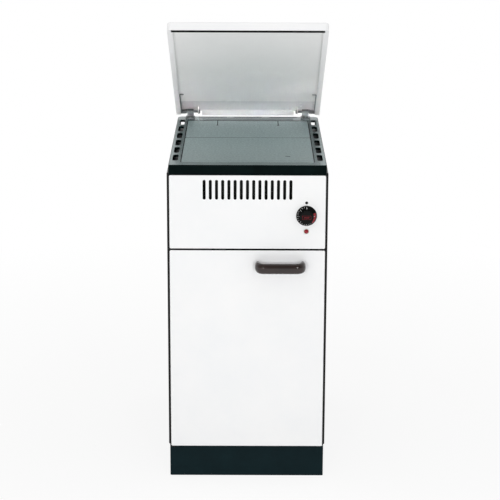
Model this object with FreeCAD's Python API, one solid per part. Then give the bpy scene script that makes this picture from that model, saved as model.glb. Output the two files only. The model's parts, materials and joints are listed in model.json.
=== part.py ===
import FreeCAD, Part
import math
import os

os.makedirs("parts", exist_ok=True)

V = FreeCAD.Vector
X = V(1, 0, 0)
Y = V(0, 1, 0)
Z = V(0, 0, 1)

# Driving dimensions in millimetres: +X right, +Y back, +Z up, origin on the floor below the hob's middle
cabinet_width = 400.0
hob_depth = 600.0
panel_sheet = 1.2
panel_bend = 2.5
panel_flange = 22.0
back_overhang = 15.0

plinth_height = 82.0
plinth_corner = 4.0
plinth_side_recess = 3.0
plinth_front_recess = 14.0
plinth_sheet = 1.5
plinth_flange = 20.0
foot_radius = 15.0
foot_pad_height = 5.0
foot_taper = 4.0
foot_stud_radius = 4.0
foot_nut_wall = 4.0
foot_nut_height = 8.0
foot_side_gap = 5.0
base_sheet = 1.5
base_edge_inset = 4.0
base_lip_height = 14.0
base_lip_gap = 2.0

front_panel_side_gap = 6.5
front_sheet = 1.0
front_corner = 4.0
front_edge = 2.0
door_height = 522.5
door_thickness = 17.0
door_back_gap = 3.0
door_fascia_gap = 3.5
door_liner_sheet = 0.8
door_liner_press = 5.0
door_press_inset = 45.0
door_press_slope = 8.0
fascia_height = 188.0
fascia_top_gap = 1.0

hinge_tab_thickness = 2.0
hinge_tab_width = 16.0
hinge_tab_nose = 6.4
hinge_tab_setback = 1.0
hinge_washer_thickness = 1.0
door_axis_inset = 6.0
door_axis_depth = 8.0
door_pin_radius = 2.5
door_pin_reach = 13.0
door_pin_chamfer = 0.6
door_bush_wall = 2.0
door_bush_end = 2.0
hinge_washer_lap = 0.6
pin_clearance = 0.05

handle_side_inset = 118.0
handle_drop = 37.0
handle_length = 126.0
handle_reach = 45.0
handle_grip_thickness = 14.0
handle_grip_height = 26.0
handle_bend = 16.0
handle_foot_width = 14.0
handle_foot_height = 17.0
handle_foot_depth = 15.0
handle_screw_radius = 2.5
handle_screw_length = 11.0
handle_screw_head = 3.0
handle_screw_edge = 1.2

catch_side_inset = 76.0
catch_width = 50.0
catch_height = 18.0
catch_corner = 3.0
catch_groove_depth = 1.5
catch_groove_margin = 5.0
strike_thickness = 1.7
strike_corner = 4.0
strike_hole_radius = 1.6
strike_hole_inset = 6.0
catch_air = 0.3

vent_count = 15
vent_pitch = 15.25
vent_width = 7.5
vent_length = 50.0
vent_top_margin = 12.0

dial_side_inset = 54.0
dial_drop = 102.0
dial_radius = 25.5
dial_skirt_depth = 7.0
dial_grip_radius = 17.5
dial_grip_depth = 13.0
dial_wall = 2.5
dial_air = 1.0
dial_bevel = 2.0
dial_skirt_slope = 3.0
dial_boss_wall = 2.5
dial_flute_count = 24
dial_flute_radius = 1.5
dial_flute_depth = 0.9
spindle_radius = 3.0
thermostat_width = 38.0
thermostat_height = 32.0
thermostat_depth = 34.0
thermostat_bush_radius = 5.0
thermostat_bush_reach = 4.0
thermostat_corner = 3.0
thermostat_back_wall = 4.0
spindle_end_gap = 2.0
lamp_drop = 40.5
lamp_radius = 5.5
lamp_dome = 2.5
lamp_stand_off = 0.5
lamp_holder_radius = 8.0
lamp_holder_depth = 26.0
lamp_holder_edge = 2.0
lamp_blade_spacing = 8.0
lamp_blade_length = 8.0
lamp_blade_width = 5.0
lamp_blade_thickness = 0.8

frame_height = 24.5
frame_side_inset = 5.0
frame_skin = 6.0
frame_wall = 5.0
frame_front_corner = 6.0
frame_rear_corner = 14.0
frame_top_edge = 2.5
frame_side_margin = 28.5
frame_front_margin = 31.0
frame_rear_margin = 58.0
ledge_width = 9.0
ledge_thickness = 6.0
ledge_wall = 4.0
plate_thickness = 7.5
plate_drop = 0.5
plate_side_gap = 2.0
plate_corner = 4.0
plate_edge = 0.6
front_plate_depth = 288.0
opening_corner = 5.0
slit_offset = 83.0
slit_length = 58.0
slit_width = 2.0
lift_slot_side_inset = 63.8
lift_slot_setback = 99.0
lift_slot_length = 13.0
lift_slot_width = 4.0
slit_hole_radius = 3.2
air_slot_count = 6
air_slot_length = 66.0
air_slot_width = 14.0
air_slot_first = 82.0
air_slot_pitch = 87.0
air_outlet_height = 13.0
rear_slot_count = 3
rear_slot_length = 80.0
rear_slot_width = 8.0
rear_slot_pitch = 98.0
rear_slot_setback = 10.5

lid_open_angle = 32.0
lid_overhang = 3.0
lid_side_inset = 1.0
lid_lift = 2.5
lid_height = 22.0
lid_sheet = 1.0
lid_corner = 10.0
lid_edge = 4.0
lid_rear_overhang = 1.0
lid_return = 13.0
lid_return_corner = 4.0
lid_return_end = 5.0
lid_liner_sheet = 0.8
lid_liner_recess = 9.5
lid_liner_seat = 2.0
lid_liner_corner = 6.0
lid_liner_bend = 1.5
lid_seal_setback = 2.5
lid_seal_edge = 0.9
lid_seal_width = 8.0
lid_seal_air = 0.3
lid_axis_from_rear = 8.0
lid_axis_from_top = 9.5
lid_skirt_ear_gap = 8.0
lid_skirt_gap = 5.0
hinge_zone = 96.0
lug_from_side = 40.0
lug_width = 18.0
lug_ring_radius = 7.0
lug_stem_back = 3.0
lug_foot_length = 24.0
lug_foot_height = 3.0
lug_foot_side = 4.0
lug_foot_corner = 3.0
lug_foot_edge = 1.0
lug_screw_radius = 4.5
lug_screw_head = 2.0
lug_screw_slot = 1.2
lid_pin_radius = 3.2
bracket_sheet = 2.0
ear_thickness = 3.0
ear_drop = 7.0
ear_root = 14.0
ear_corner = 5.0
bracket_corner = 4.0
bracket_lap = 4.0
bracket_lug_gap = 3.0
pin_head_wall = 2.2
pin_head_length = 3.0
pin_head_edge = 1.0
pin_end = 1.5
ear_inner_gap = 12.0
ear_outer_gap = 22.0
spring_wire_radius = 1.5
spring_pitch = 3.5
spring_turns = 4
spring_pin_air = 0.3
spring_lug_gap = 0.5
spring_lead = 26.0
spring_lead_shift = -2.2
spring_leg = 140.0
spring_hook = 7.0
spring_hook_bend = 3.3
spring_gap_samples = 900

flue_box_height = 175.0
flue_box_wall = 3.0
flue_box_corner = 8.0
flue_drop = 84.0
flue_box_front_setback = 75.0
flue_box_side_gap = 2.0
flue_box_rear_setback = 68.0
shield_setback = 60.0
shield_sheet = 1.0
shield_top_gap = 1.0
rail_height = 20.0
rail_sheet = 3.0
rail_flange_gap = 20.0
front_rail_height = 40.0
front_rail_depth = 15.0
front_rail_sheet = 1.5
neck_chamber_gap = 23.8
chamber_wall = 3.0
chamber_height = 322.0
chamber_y = -20.0
ring_flange = 15.0
ring_flange_thickness = 4.0
lining_thickness = 20.0
neck_width = 90.0
neck_height = 90.0
neck_reach = 32.0
neck_rise = 116.0
neck_corner = 10.0
chamber_hole_inset = 10.0
cover_margin = 12.0
cover_thickness = 4.0
cover_corner = 12.0
cover_edge = 1.0
sight_radius = 20.0
sight_thickness = 3.0
bezel_wall = 6.0
bezel_depth = 4.0
wing_nut_radius = 6.0
wing_nut_taper = 1.5
wing_nut_height = 7.0
wing_nut_inset = 7.0
wing_span = 22.0
wing_rise = 12.0
wing_root = 4.0
wing_thickness = 2.4
wing_corner = 3.5
lining_bottom_gap = 2.0
lining_top_gap = 18.0
pot_inset = 10.0
pot_height = 148.0
pot_wall = 3.0
pot_bottom_bend = 12.0
pot_hole_radius = 2.5
pot_hole_count = 16
pot_hole_rows = 2
pot_hole_rise = 67.0
pot_hole_row_pitch = 32.0
burner_ring_width = 30.0
burner_ring_thickness = 4.0
burner_ring_rise = 81.0
jacket_inset = 2.0
jacket_height = 160.0
jacket_wall = 1.5
jacket_slot_count = 12
jacket_slot_length = 34.0
jacket_slot_width = 10.0
jacket_slot_drop = 26.0
igniter_radius = 6.0
igniter_length = 70.0
igniter_angle = -55.0
igniter_rise = 30.0
igniter_inside = 15.0
igniter_hole_gap = 0.5
igniter_hex_radius = 11.0
igniter_hex_length = 9.0
igniter_hex_gap = 0.5

collar_inner_radius = 60.5
collar_wall = 3.0
collar_reach = 59.0
collar_flange = 12.0
collar_flange_thickness = 3.0
collar_hole_radius = 2.6
collar_hole_count = 4
collar_panel_gap = 0.8
flue_stop = 2.5
gland_radius = 11.0
gland_bore_radius = 4.5
gland_reach = 20.0
gland_sleeve_wall = 2.0
gland_sleeve_length = 8.0
gland_hex_length = 6.0
gland_step = 1.5
gland_nose = 5.0
gland_side_inset = 60.0
gland_rise = 60.0
louvre_count = 9
louvre_length = 120.0
louvre_width = 7.0
louvre_pitch = 18.0
louvre_offset = 80.0
louvre_rise = 130.0
back_panel_inset = 2.0
back_panel_corner = 6.0
back_screw_radius = 4.0
back_screw_head = 2.2
back_screw_edge = 1.2
back_screw_slot = 1.0
back_screw_slot_depth = 0.8
back_screw_rows = 4
back_screw_margin = 30.0
back_screw_inset = 12.0

tank_side_gap = 23.8
tank_chamber_gap = 35.0
tank_height = 350.0
tank_sheet = 1.2
tank_corner = 18.0
tank_back_gap = 10.0
tank_top_edge = 4.0
tank_feed_rise = 18.0
stand_width = 30.0
stand_sheet = 2.0
stand_bend = 3.0
stand_inset = 35.0
stand_lip_gap = 1.0
neck_tube_radius = 20.0
neck_tube_wall = 1.5
neck_tube_side_gap = 20.0
neck_tube_rise = 235.0
neck_tube_bend = 40.0
neck_tube_lift = 30.0
neck_front_setback = 95.0
cap_clearance = 0.4
cap_wall = 4.0
cap_height = 20.0
cap_edge = 2.0
cap_groove_count = 12
cap_groove_radius = 3.0
cap_groove_depth = 1.8
regulator_width = 66.0
regulator_depth = 90.0
regulator_height = 70.0
regulator_side_gap = 14.0
regulator_front_setback = 95.0
regulator_corner = 8.0
regulator_cover_lap = 3.0
regulator_cover_height = 8.0
regulator_cover_edge = 2.0
regulator_knob_radius = 11.0
regulator_knob_height = 14.0
regulator_inlet_rise = 25.0
bracket_plate = 2.0
bracket_end_inset = 15.0
bracket_bottom_inset = 12.0
bracket_top_inset = 16.0
pipe_radius = 4.0
pipe_wall = 1.5
pipe_bend = 22.0
pipe_nut_radius = 8.0
pipe_nut_length = 12.0
pipe_dip = 55.0
oil_depth = 22.0
past = 1.0

# Levels and planes that follow from the sizes above
half_width = cabinet_width / 2
front_y = -hob_depth / 2
carcass_front_y = front_y + door_thickness + door_back_gap
carcass_back_y = hob_depth / 2 - back_overhang
base_top = plinth_height + base_sheet
door_bottom = base_top + hinge_tab_thickness + hinge_washer_thickness
door_top = door_bottom + door_height
fascia_bottom = door_top + door_fascia_gap
fascia_top = fascia_bottom + fascia_height
frame_bottom = fascia_top + fascia_top_gap
hob_top = frame_bottom + frame_height
front_half_width = half_width - front_panel_side_gap
inner_half_width = half_width - panel_sheet
flange_back_y = carcass_front_y + panel_sheet
rail_half_width = half_width - panel_bend
base_lip_x = half_width - panel_flange - base_lip_gap
base_lip_front_y = carcass_front_y + panel_flange + base_lip_gap
base_lip_back_y = carcass_back_y - panel_flange - base_lip_gap

door_axis_x = -front_half_width + door_axis_inset
door_axis_y = front_y + door_axis_depth
door_bore_radius = door_pin_radius + pin_clearance
door_bush_radius = door_bore_radius + door_bush_wall
upper_tab_bottom = door_top + (door_fascia_gap - hinge_tab_thickness) / 2
handle_x = half_width - handle_side_inset
catch_x = half_width - catch_side_inset
handle_z = door_top - handle_drop

dial_x = half_width - dial_side_inset
dial_z = fascia_top - dial_drop
lamp_z = dial_z - lamp_drop
vent_z = fascia_top - vent_top_margin - vent_length / 2

frame_half_width = half_width - frame_side_inset
opening_half_width = frame_half_width - frame_side_margin
opening_front_y = front_y + frame_front_margin
opening_back_y = -front_y - frame_rear_margin
ledge_top = hob_top - plate_drop - plate_thickness

lid_bottom = hob_top + lid_lift
lid_top = lid_bottom + lid_height
lid_half_width = half_width - lid_side_inset
lid_front_y = front_y - lid_overhang
lid_back_y = -front_y + lid_rear_overhang
lid_axis_y = lid_back_y - lid_axis_from_rear
lid_axis_z = lid_top - lid_axis_from_top
lug_x = half_width - lug_from_side
lid_liner_z = lid_bottom + lid_liner_recess
lid_liner_back_y = lid_back_y - hinge_zone
spring_radius = lid_pin_radius + spring_pin_air + spring_wire_radius
ear_inner_x = lug_x - lug_width / 2 - ear_inner_gap - ear_thickness
ear_outer_x = lug_x + lug_width / 2 + ear_outer_gap
lid_skirt_half_width = ear_inner_x - lid_skirt_ear_gap

flue_box_top = ledge_top
flue_box_bottom = flue_box_top - flue_box_height
flue_box_half_width = opening_half_width - ledge_width - flue_box_side_gap
flue_box_front_y = front_y + flue_box_front_setback
flue_box_back_y = -front_y - flue_box_rear_setback
flue_z = frame_bottom - flue_drop
neck_tube_x = inner_half_width - neck_tube_side_gap - neck_tube_radius
chamber_radius = neck_tube_x - neck_tube_radius - neck_chamber_gap
chamber_bottom = flue_box_bottom - chamber_height
pot_radius = chamber_radius - pot_inset
jacket_radius = chamber_radius + ring_flange - jacket_inset
pot_bottom = chamber_bottom - pot_height
oil_z = pot_bottom + pot_wall + oil_depth
neck_z = chamber_bottom + neck_rise
neck_face_y = chamber_y - chamber_radius - neck_reach

tank_back_y = carcass_back_y - tank_back_gap
tank_front_y = chamber_y + chamber_radius + tank_chamber_gap
tank_half_width = inner_half_width - tank_side_gap
gland_x = -half_width + gland_side_inset
tank_bottom = oil_z - tank_feed_rise
neck_tube_z = tank_bottom + neck_tube_rise
neck_tube_y = carcass_front_y + neck_front_setback
neck_tube_top = neck_tube_z + neck_tube_bend + neck_tube_lift
regulator_x = -inner_half_width + regulator_side_gap + regulator_width / 2
regulator_front_y = carcass_front_y + regulator_front_setback
regulator_back_y = regulator_front_y + regulator_depth
regulator_bottom = oil_z - regulator_inlet_rise


def save(name, shape):
    shape.exportStep("parts/" + name + ".step")
    print(name, round(shape.Volume / 1000.0, 2), "cm3", len(shape.Solids), "solid(s)", shape.isValid())


def block(low, high):
    size = high - low
    return Part.makeBox(size.x, size.y, size.z, low)


def rod(start, axis, radius, length):
    return Part.makeCylinder(radius, length, start, axis)


def ring(start, axis, outer, inner, length):
    return rod(start, axis, outer, length).cut(rod(start, axis, inner, length))


def turned(outline, axis):
    return Part.Face(Part.makePolygon(outline + [outline[0]])).revolve(V(0, 0, 0), axis, 360)


def prism(points, direction):
    return Part.Face(Part.makePolygon(points + [points[0]])).extrude(direction)


def drill(shape, cutters):
    return shape.cut(Part.makeCompound(cutters))


def in_plane(edge, axis, level):
    low = V(edge.BoundBox.XMin, edge.BoundBox.YMin, edge.BoundBox.ZMin).dot(axis)
    high = V(edge.BoundBox.XMax, edge.BoundBox.YMax, edge.BoundBox.ZMax).dot(axis)
    return abs(low - level) < 1e-4 and abs(high - level) < 1e-4


def along(edge, axis):
    return abs(edge.tangentAt(edge.FirstParameter).dot(axis)) > 0.999


def eased(shape, axis, level, radius):
    return shape.makeFillet(radius, [e for e in shape.Edges if in_plane(e, axis, level)])


def rounded_block(low, high, axis, corner):
    shape = block(low, high)
    return shape.makeFillet(corner, [e for e in shape.Edges if along(e, axis)])


def stadium(centre, long_axis, depth_axis, length, width, depth):
    """A round-ended slot cutter centred on a point and running both ways along its depth axis."""
    start = centre - depth_axis * (depth / 2)
    run = long_axis * (length / 2 - width / 2)
    side = depth_axis.cross(long_axis) * (width / 2)
    tip = long_axis * (length / 2)
    edges = [
        Part.Arc(start + run + side, start + tip, start + run - side).toShape(),
        Part.makeLine(start + run - side, start - run - side),
        Part.Arc(start - run - side, start - tip, start - run + side).toShape(),
        Part.makeLine(start - run + side, start + run + side),
    ]
    return Part.Face(Part.Wire(edges)).extrude(depth_axis * depth)


def both_sides(shape):
    return [shape.mirror(V(0, 0, 0), X), shape]


def bent_path(points, radius):
    """Straight runs through the points, joined by tangent arcs."""
    edges = []
    last = points[0]
    for before, corner, after in zip(points, points[1:], points[2:]):
        into = (corner - before).normalize()
        away = (after - corner).normalize()
        half = math.acos(max(-1.0, min(1.0, into.dot(away)))) / 2
        reach = radius * math.tan(half)
        first = corner - into * reach
        second = corner + away * reach
        bisect = (away - into).normalize()
        middle = corner + bisect * (radius / math.cos(half) - radius)
        edges.append(Part.makeLine(last, first))
        edges.append(Part.Arc(first, middle, second).toShape())
        last = second
    edges.append(Part.makeLine(last, points[-1]))
    return Part.Wire(edges)


def round_bar(points, bend, radius):
    direction = (points[1] - points[0]).normalize()
    circle = Part.Wire(Part.makeCircle(radius, points[0], direction))
    return bent_path(points, bend).makePipeShell([circle], True, False)


def hex_nut(start, direction, across, length):
    points = []
    for i in range(6):
        angle = math.pi / 3 * i
        points.append(start + across * math.cos(angle) + direction.cross(across) * math.sin(angle))
    return prism(points, direction * length)


def raise_lid(shape):
    """Turns a lid piece from its closed place to the angle at which the lid stands open."""
    raised = shape.copy()
    raised.rotate(V(0, lid_axis_y, lid_axis_z), V(-1, 0, 0), lid_open_angle)
    return raised


def make_plinth():
    low = V(-half_width + plinth_side_recess, front_y + plinth_front_recess, 0)
    high = V(half_width - plinth_side_recess, carcass_back_y, plinth_height)
    wall = V(plinth_sheet, plinth_sheet, plinth_sheet)
    lip = V(plinth_flange, plinth_flange, 0)
    shape = rounded_block(low, high, Z, plinth_corner)
    return drill(shape, [block(low + wall, high - wall), block(low + lip, high - lip)])


def make_feet():
    nut_radius = foot_stud_radius + foot_nut_wall
    outline = [
        V(0, 0, 0),
        V(foot_radius, 0, 0),
        V(foot_radius, 0, foot_pad_height),
        V(nut_radius, 0, foot_pad_height + foot_taper),
        V(foot_stud_radius, 0, foot_pad_height + foot_taper),
        V(foot_stud_radius, 0, plinth_height - foot_nut_height),
        V(nut_radius, 0, plinth_height - foot_nut_height),
        V(nut_radius, 0, plinth_height),
        V(0, 0, plinth_height),
    ]
    inset = plinth_flange + foot_side_gap + foot_radius
    x = half_width - plinth_side_recess - inset
    feet = []
    for y in (front_y + plinth_front_recess + inset, carcass_back_y - inset):
        foot = turned(outline, Z)
        foot.translate(V(x, y, 0))
        feet += both_sides(foot)
    return Part.makeCompound(feet)


def make_base_pan():
    low = V(-half_width + base_edge_inset, front_y + plinth_front_recess, plinth_height)
    high = V(half_width - base_edge_inset, carcass_back_y, base_top)
    lip_low = V(-base_lip_x, base_lip_front_y, base_top)
    lip_high = V(base_lip_x, base_lip_back_y, base_top + base_lip_height)
    wall = V(base_sheet, base_sheet, 0)
    lip = block(lip_low, lip_high).cut(block(lip_low + wall, lip_high - wall))
    return block(low, high).fuse(lip).removeSplitter()


def make_side_panel():
    low = V(half_width - panel_flange, carcass_front_y, base_top)
    high = V(half_width, carcass_back_y, frame_bottom)
    wall = V(panel_sheet, panel_sheet, panel_sheet)
    inner_bend = panel_bend - panel_sheet
    outer = eased(rounded_block(low, high, X, panel_bend), X, half_width, panel_bend)
    inner = rounded_block(low + V(-past, panel_sheet, panel_sheet), high - wall, X, inner_bend)
    return outer.cut(eased(inner, X, inner_half_width, inner_bend))


def make_back_panel():
    low = V(-half_width + back_panel_inset, carcass_back_y, base_top + back_panel_inset)
    high = V(half_width - back_panel_inset, carcass_back_y + panel_sheet, frame_bottom - back_panel_inset)
    through = panel_sheet + 2 * past
    start = carcass_back_y - past
    gland = V(gland_x, start, base_top + gland_rise)
    cuts = [
        rod(V(0, start, flue_z), Y, collar_inner_radius + collar_wall + collar_panel_gap, through),
        rod(gland, Y, gland_bore_radius + gland_sleeve_wall, through),
    ]
    for side in (-1, 1):
        for row in range(louvre_count):
            centre = V(side * louvre_offset, carcass_back_y, base_top + louvre_rise + row * louvre_pitch)
            cuts.append(stadium(centre, X, Y, louvre_length, louvre_width, 2 * through))
    return drill(rounded_block(low, high, Y, back_panel_corner), cuts)


def make_back_screws():
    screws = []
    span = frame_bottom - base_top - 2 * back_screw_margin
    face = carcass_back_y + panel_sheet
    for row in range(back_screw_rows):
        z = base_top + back_screw_margin + span * row / (back_screw_rows - 1)
        seat = V(half_width - back_screw_inset, face, z)
        screw = rod(seat, Y, back_screw_radius, back_screw_head)
        screw = eased(screw, Y, face + back_screw_head, back_screw_edge)
        bottom = back_screw_head - back_screw_slot_depth
        slot_low = seat + V(-back_screw_radius, bottom, -back_screw_slot / 2)
        slot_high = seat + V(back_screw_radius, back_screw_head + past, back_screw_slot / 2)
        screws += both_sides(screw.cut(block(slot_low, slot_high)))
    return Part.makeCompound(screws)


def make_front_rail():
    low = V(-rail_half_width, flange_back_y, upper_tab_bottom - front_rail_height / 2)
    high = V(rail_half_width, flange_back_y + front_rail_depth, upper_tab_bottom + front_rail_height / 2)
    hollow_low = low + V(-past, front_rail_sheet, front_rail_sheet)
    hollow_high = high + V(past, past, -front_rail_sheet)
    return block(low, high).cut(block(hollow_low, hollow_high))


def make_hinge_tabs():
    tabs = []
    for bottom in (base_top, upper_tab_bottom):
        low = V(door_axis_x - hinge_tab_width / 2, front_y + hinge_tab_setback, bottom)
        high = V(door_axis_x + hinge_tab_width / 2, carcass_front_y, bottom + hinge_tab_thickness)
        tab = block(low, high)
        nose = [e for e in tab.Edges if along(e, Z) and e.BoundBox.YMax < door_axis_y]
        tab = tab.makeFillet(hinge_tab_nose, nose)
        hole = rod(V(door_axis_x, door_axis_y, bottom), Z, door_pin_radius, hinge_tab_thickness)
        tabs.append(tab.cut(hole))
    return Part.makeCompound(tabs)


def make_door_pins():
    pins = []
    lower_tip = door_bottom + door_pin_reach
    upper_tip = door_top - door_pin_reach
    upper_end = upper_tab_bottom + hinge_tab_thickness
    for bottom, top, tip in ((base_top, lower_tip, lower_tip), (upper_tip, upper_end, upper_tip)):
        pin = rod(V(door_axis_x, door_axis_y, bottom), Z, door_pin_radius, top - bottom)
        pins.append(pin.makeChamfer(door_pin_chamfer, [e for e in pin.Edges if in_plane(e, Z, tip)]))
    return Part.makeCompound(pins)


def make_hinge_washer():
    start = V(door_axis_x, door_axis_y, base_top + hinge_tab_thickness)
    return ring(start, Z, door_bush_radius + hinge_washer_lap, door_bore_radius, hinge_washer_thickness)


def catch_place():
    top = upper_tab_bottom - front_rail_height / 2
    face = front_y + door_thickness + strike_thickness + catch_air
    low = V(catch_x - catch_width / 2, face, top - catch_height)
    high = V(catch_x + catch_width / 2, flange_back_y + front_rail_depth, top)
    return low, high


def make_door_catch():
    low, high = catch_place()
    body = rounded_block(low, high, Z, catch_corner)
    margin = V(catch_groove_margin, 0, catch_groove_margin)
    groove = block(low + margin - V(0, past, 0), V(high.x, low.y + catch_groove_depth, high.z) - margin)
    return body.cut(groove)


def make_strike():
    low, high = catch_place()
    low = V(low.x, front_y + door_thickness, low.z)
    high = V(high.x, low.y + strike_thickness, high.z)
    holes = []
    for x in (low.x + strike_hole_inset, high.x - strike_hole_inset):
        holes.append(rod(V(x, low.y, (low.z + high.z) / 2), Y, strike_hole_radius, strike_thickness))
    return drill(rounded_block(low, high, Y, strike_corner), holes)


def front_tray(bottom, top, depth):
    """A pressed front panel: eased face, rounded corners and folded edges, open at the back."""
    low = V(-front_half_width, front_y, bottom)
    high = V(front_half_width, front_y + depth, top)
    wall = V(front_sheet, front_sheet, front_sheet)
    outer = eased(rounded_block(low, high, Y, front_corner), Y, front_y, front_edge)
    open_end = high + V(-front_sheet, past, -front_sheet)
    inner = rounded_block(low + wall, open_end, Y, front_corner - front_sheet)
    return outer.cut(eased(inner, Y, front_y + front_sheet, front_edge - front_sheet))


def make_fascia():
    tray = front_tray(fascia_bottom, fascia_top, door_thickness + door_back_gap)
    cuts = []
    for i in range(vent_count):
        x = (i - (vent_count - 1) / 2) * vent_pitch
        cuts.append(stadium(V(x, front_y, vent_z), Z, Y, vent_length, vent_width, 4 * front_sheet))
    cuts.append(rod(V(dial_x, front_y, dial_z), Y, thermostat_bush_radius, front_sheet))
    cuts.append(rod(V(dial_x, front_y, lamp_z), Y, lamp_radius, front_sheet))
    return drill(tray, cuts)


def make_shield():
    back = front_y + shield_setback
    bottom = upper_tab_bottom + front_rail_height / 2
    top = frame_bottom - panel_sheet - shield_top_gap
    floor_high = V(rail_half_width, back, bottom + shield_sheet)
    floor = block(V(-rail_half_width, flange_back_y, bottom), floor_high)
    wall = block(V(-rail_half_width, back - shield_sheet, bottom), V(rail_half_width, back, top))
    return floor.fuse(wall).removeSplitter()


def make_thermostat():
    back = front_y + front_sheet
    low = V(dial_x - thermostat_width / 2, back, dial_z - thermostat_height / 2)
    high = V(dial_x + thermostat_width / 2, back + thermostat_depth, dial_z + thermostat_height / 2)
    reach = front_sheet + thermostat_bush_reach
    tip = V(dial_x, back - reach, dial_z)
    body = rounded_block(low, high, Y, thermostat_corner)
    body = body.fuse(rod(tip, Y, thermostat_bush_radius, reach)).removeSplitter()
    bore = reach + thermostat_depth - thermostat_back_wall
    return body.cut(rod(tip, Y, spindle_radius + pin_clearance, bore))


def make_spindle():
    start = front_y - dial_air - dial_skirt_depth - dial_grip_depth + dial_wall
    end = front_y + front_sheet + thermostat_depth - thermostat_back_wall - spindle_end_gap
    return rod(V(dial_x, start, dial_z), Y, spindle_radius, end - start)


def make_dial():
    back = front_y - dial_air
    face = back - dial_skirt_depth
    top = face - dial_grip_depth
    rim = face + dial_skirt_slope
    outline = [
        V(0, top, 0),
        V(dial_grip_radius - dial_bevel, top, 0),
        V(dial_grip_radius, top + dial_bevel, 0),
        V(dial_grip_radius, face, 0),
        V(dial_radius - dial_bevel, rim, 0),
        V(dial_radius, rim + dial_bevel, 0),
        V(dial_radius, back, 0),
        V(dial_radius - dial_wall, back, 0),
        V(dial_radius - dial_wall, rim + dial_wall, 0),
        V(dial_grip_radius - dial_wall, face + dial_wall, 0),
        V(dial_grip_radius - dial_wall, top + dial_wall, 0),
        V(0, top + dial_wall, 0),
    ]
    boss = rod(V(0, top + dial_wall, 0), Y, spindle_radius + dial_boss_wall, dial_grip_depth - dial_wall)
    shape = turned(outline, Y).fuse(boss).removeSplitter()
    cuts = [rod(V(0, top + dial_wall, 0), Y, spindle_radius, dial_grip_depth)]
    reach = dial_grip_radius + dial_flute_radius - dial_flute_depth
    for i in range(dial_flute_count):
        angle = 2 * math.pi * i / dial_flute_count
        place = V(reach * math.cos(angle), top - past, reach * math.sin(angle))
        cuts.append(rod(place, Y, dial_flute_radius, dial_grip_depth))
    shape = drill(shape, cuts)
    shape.translate(V(dial_x, 0, dial_z))
    return shape


def make_lamp_lens():
    face = front_y - lamp_stand_off
    stem = rod(V(dial_x, face, lamp_z), Y, lamp_radius, front_sheet + lamp_stand_off)
    sphere_radius = (lamp_radius ** 2 + lamp_dome ** 2) / (2 * lamp_dome)
    ball = Part.makeSphere(sphere_radius, V(dial_x, face - lamp_dome + sphere_radius, lamp_z))
    cap = rod(V(dial_x, face - lamp_dome, lamp_z), Y, lamp_radius, lamp_dome)
    return stem.fuse(ball.common(cap)).removeSplitter()


def make_lamp_holder():
    start = V(dial_x, front_y + front_sheet, lamp_z)
    back = start.y + lamp_holder_depth
    body = eased(rod(start, Y, lamp_holder_radius, lamp_holder_depth), Y, back, lamp_holder_edge)
    for side in (-1, 1):
        root = V(dial_x + side * lamp_blade_spacing / 2, back, lamp_z)
        low = root - V(lamp_blade_thickness / 2, past, lamp_blade_width / 2)
        high = root + V(lamp_blade_thickness / 2, lamp_blade_length, lamp_blade_width / 2)
        body = body.fuse(block(low, high))
    return body


def make_cooktop_frame():
    """A cast frame: skin and apron outside, a ledge for the plates inside, hollow underneath."""
    low = V(-frame_half_width, front_y, frame_bottom)
    high = V(frame_half_width, -front_y, hob_top)
    shape = block(low, high)
    for y, radius in ((front_y, frame_front_corner), (-front_y, frame_rear_corner)):
        upright = [e for e in shape.Edges if along(e, Z) and abs(e.BoundBox.YMin - y) < 1e-4]
        shape = shape.makeFillet(radius, [e for e in upright if abs(e.BoundBox.YMax - y) < 1e-4])
    shape = eased(shape, Z, hob_top, frame_top_edge)
    ledge = V(ledge_width, ledge_width, 0)
    ledge_bottom = ledge_top - ledge_thickness
    rebate_low = V(-opening_half_width, opening_front_y, ledge_top)
    rebate_high = V(opening_half_width, opening_back_y, hob_top + past)
    through_low = V(rebate_low.x, rebate_low.y, frame_bottom - past) + ledge
    wall = V(frame_wall, frame_wall, 0)
    cavity_low = V(low.x, low.y, frame_bottom - past) + wall
    cavity_high = V(high.x, high.y, ledge_bottom) - wall
    rim = V(ledge_wall, ledge_wall, 0)
    core_low = V(rebate_low.x, rebate_low.y, ledge_bottom) - rim
    core = block(core_low, V(rebate_high.x, rebate_high.y, hob_top) + rim)
    upper_low = V(cavity_low.x, cavity_low.y, ledge_bottom)
    upper = block(upper_low, V(cavity_high.x, cavity_high.y, hob_top - frame_skin))
    cavity = [
        rounded_block(rebate_low, rebate_high, Z, opening_corner),
        rounded_block(through_low, rebate_high - ledge, Z, opening_corner),
        block(cavity_low, cavity_high).common(inner_outline(cavity_low.z, hob_top)),
        upper.cut(core).common(inner_outline(cavity_low.z, hob_top)),
    ]
    for cut in cavity:
        shape = shape.cut(cut)
    return drill(shape, air_slot_cutters())


def inner_outline(bottom, top):
    low = V(-frame_half_width + frame_wall, front_y + frame_wall, bottom)
    high = V(frame_half_width - frame_wall, -front_y - frame_wall, top)
    return rounded_block(low, high, Z, frame_rear_corner - frame_wall)


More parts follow.
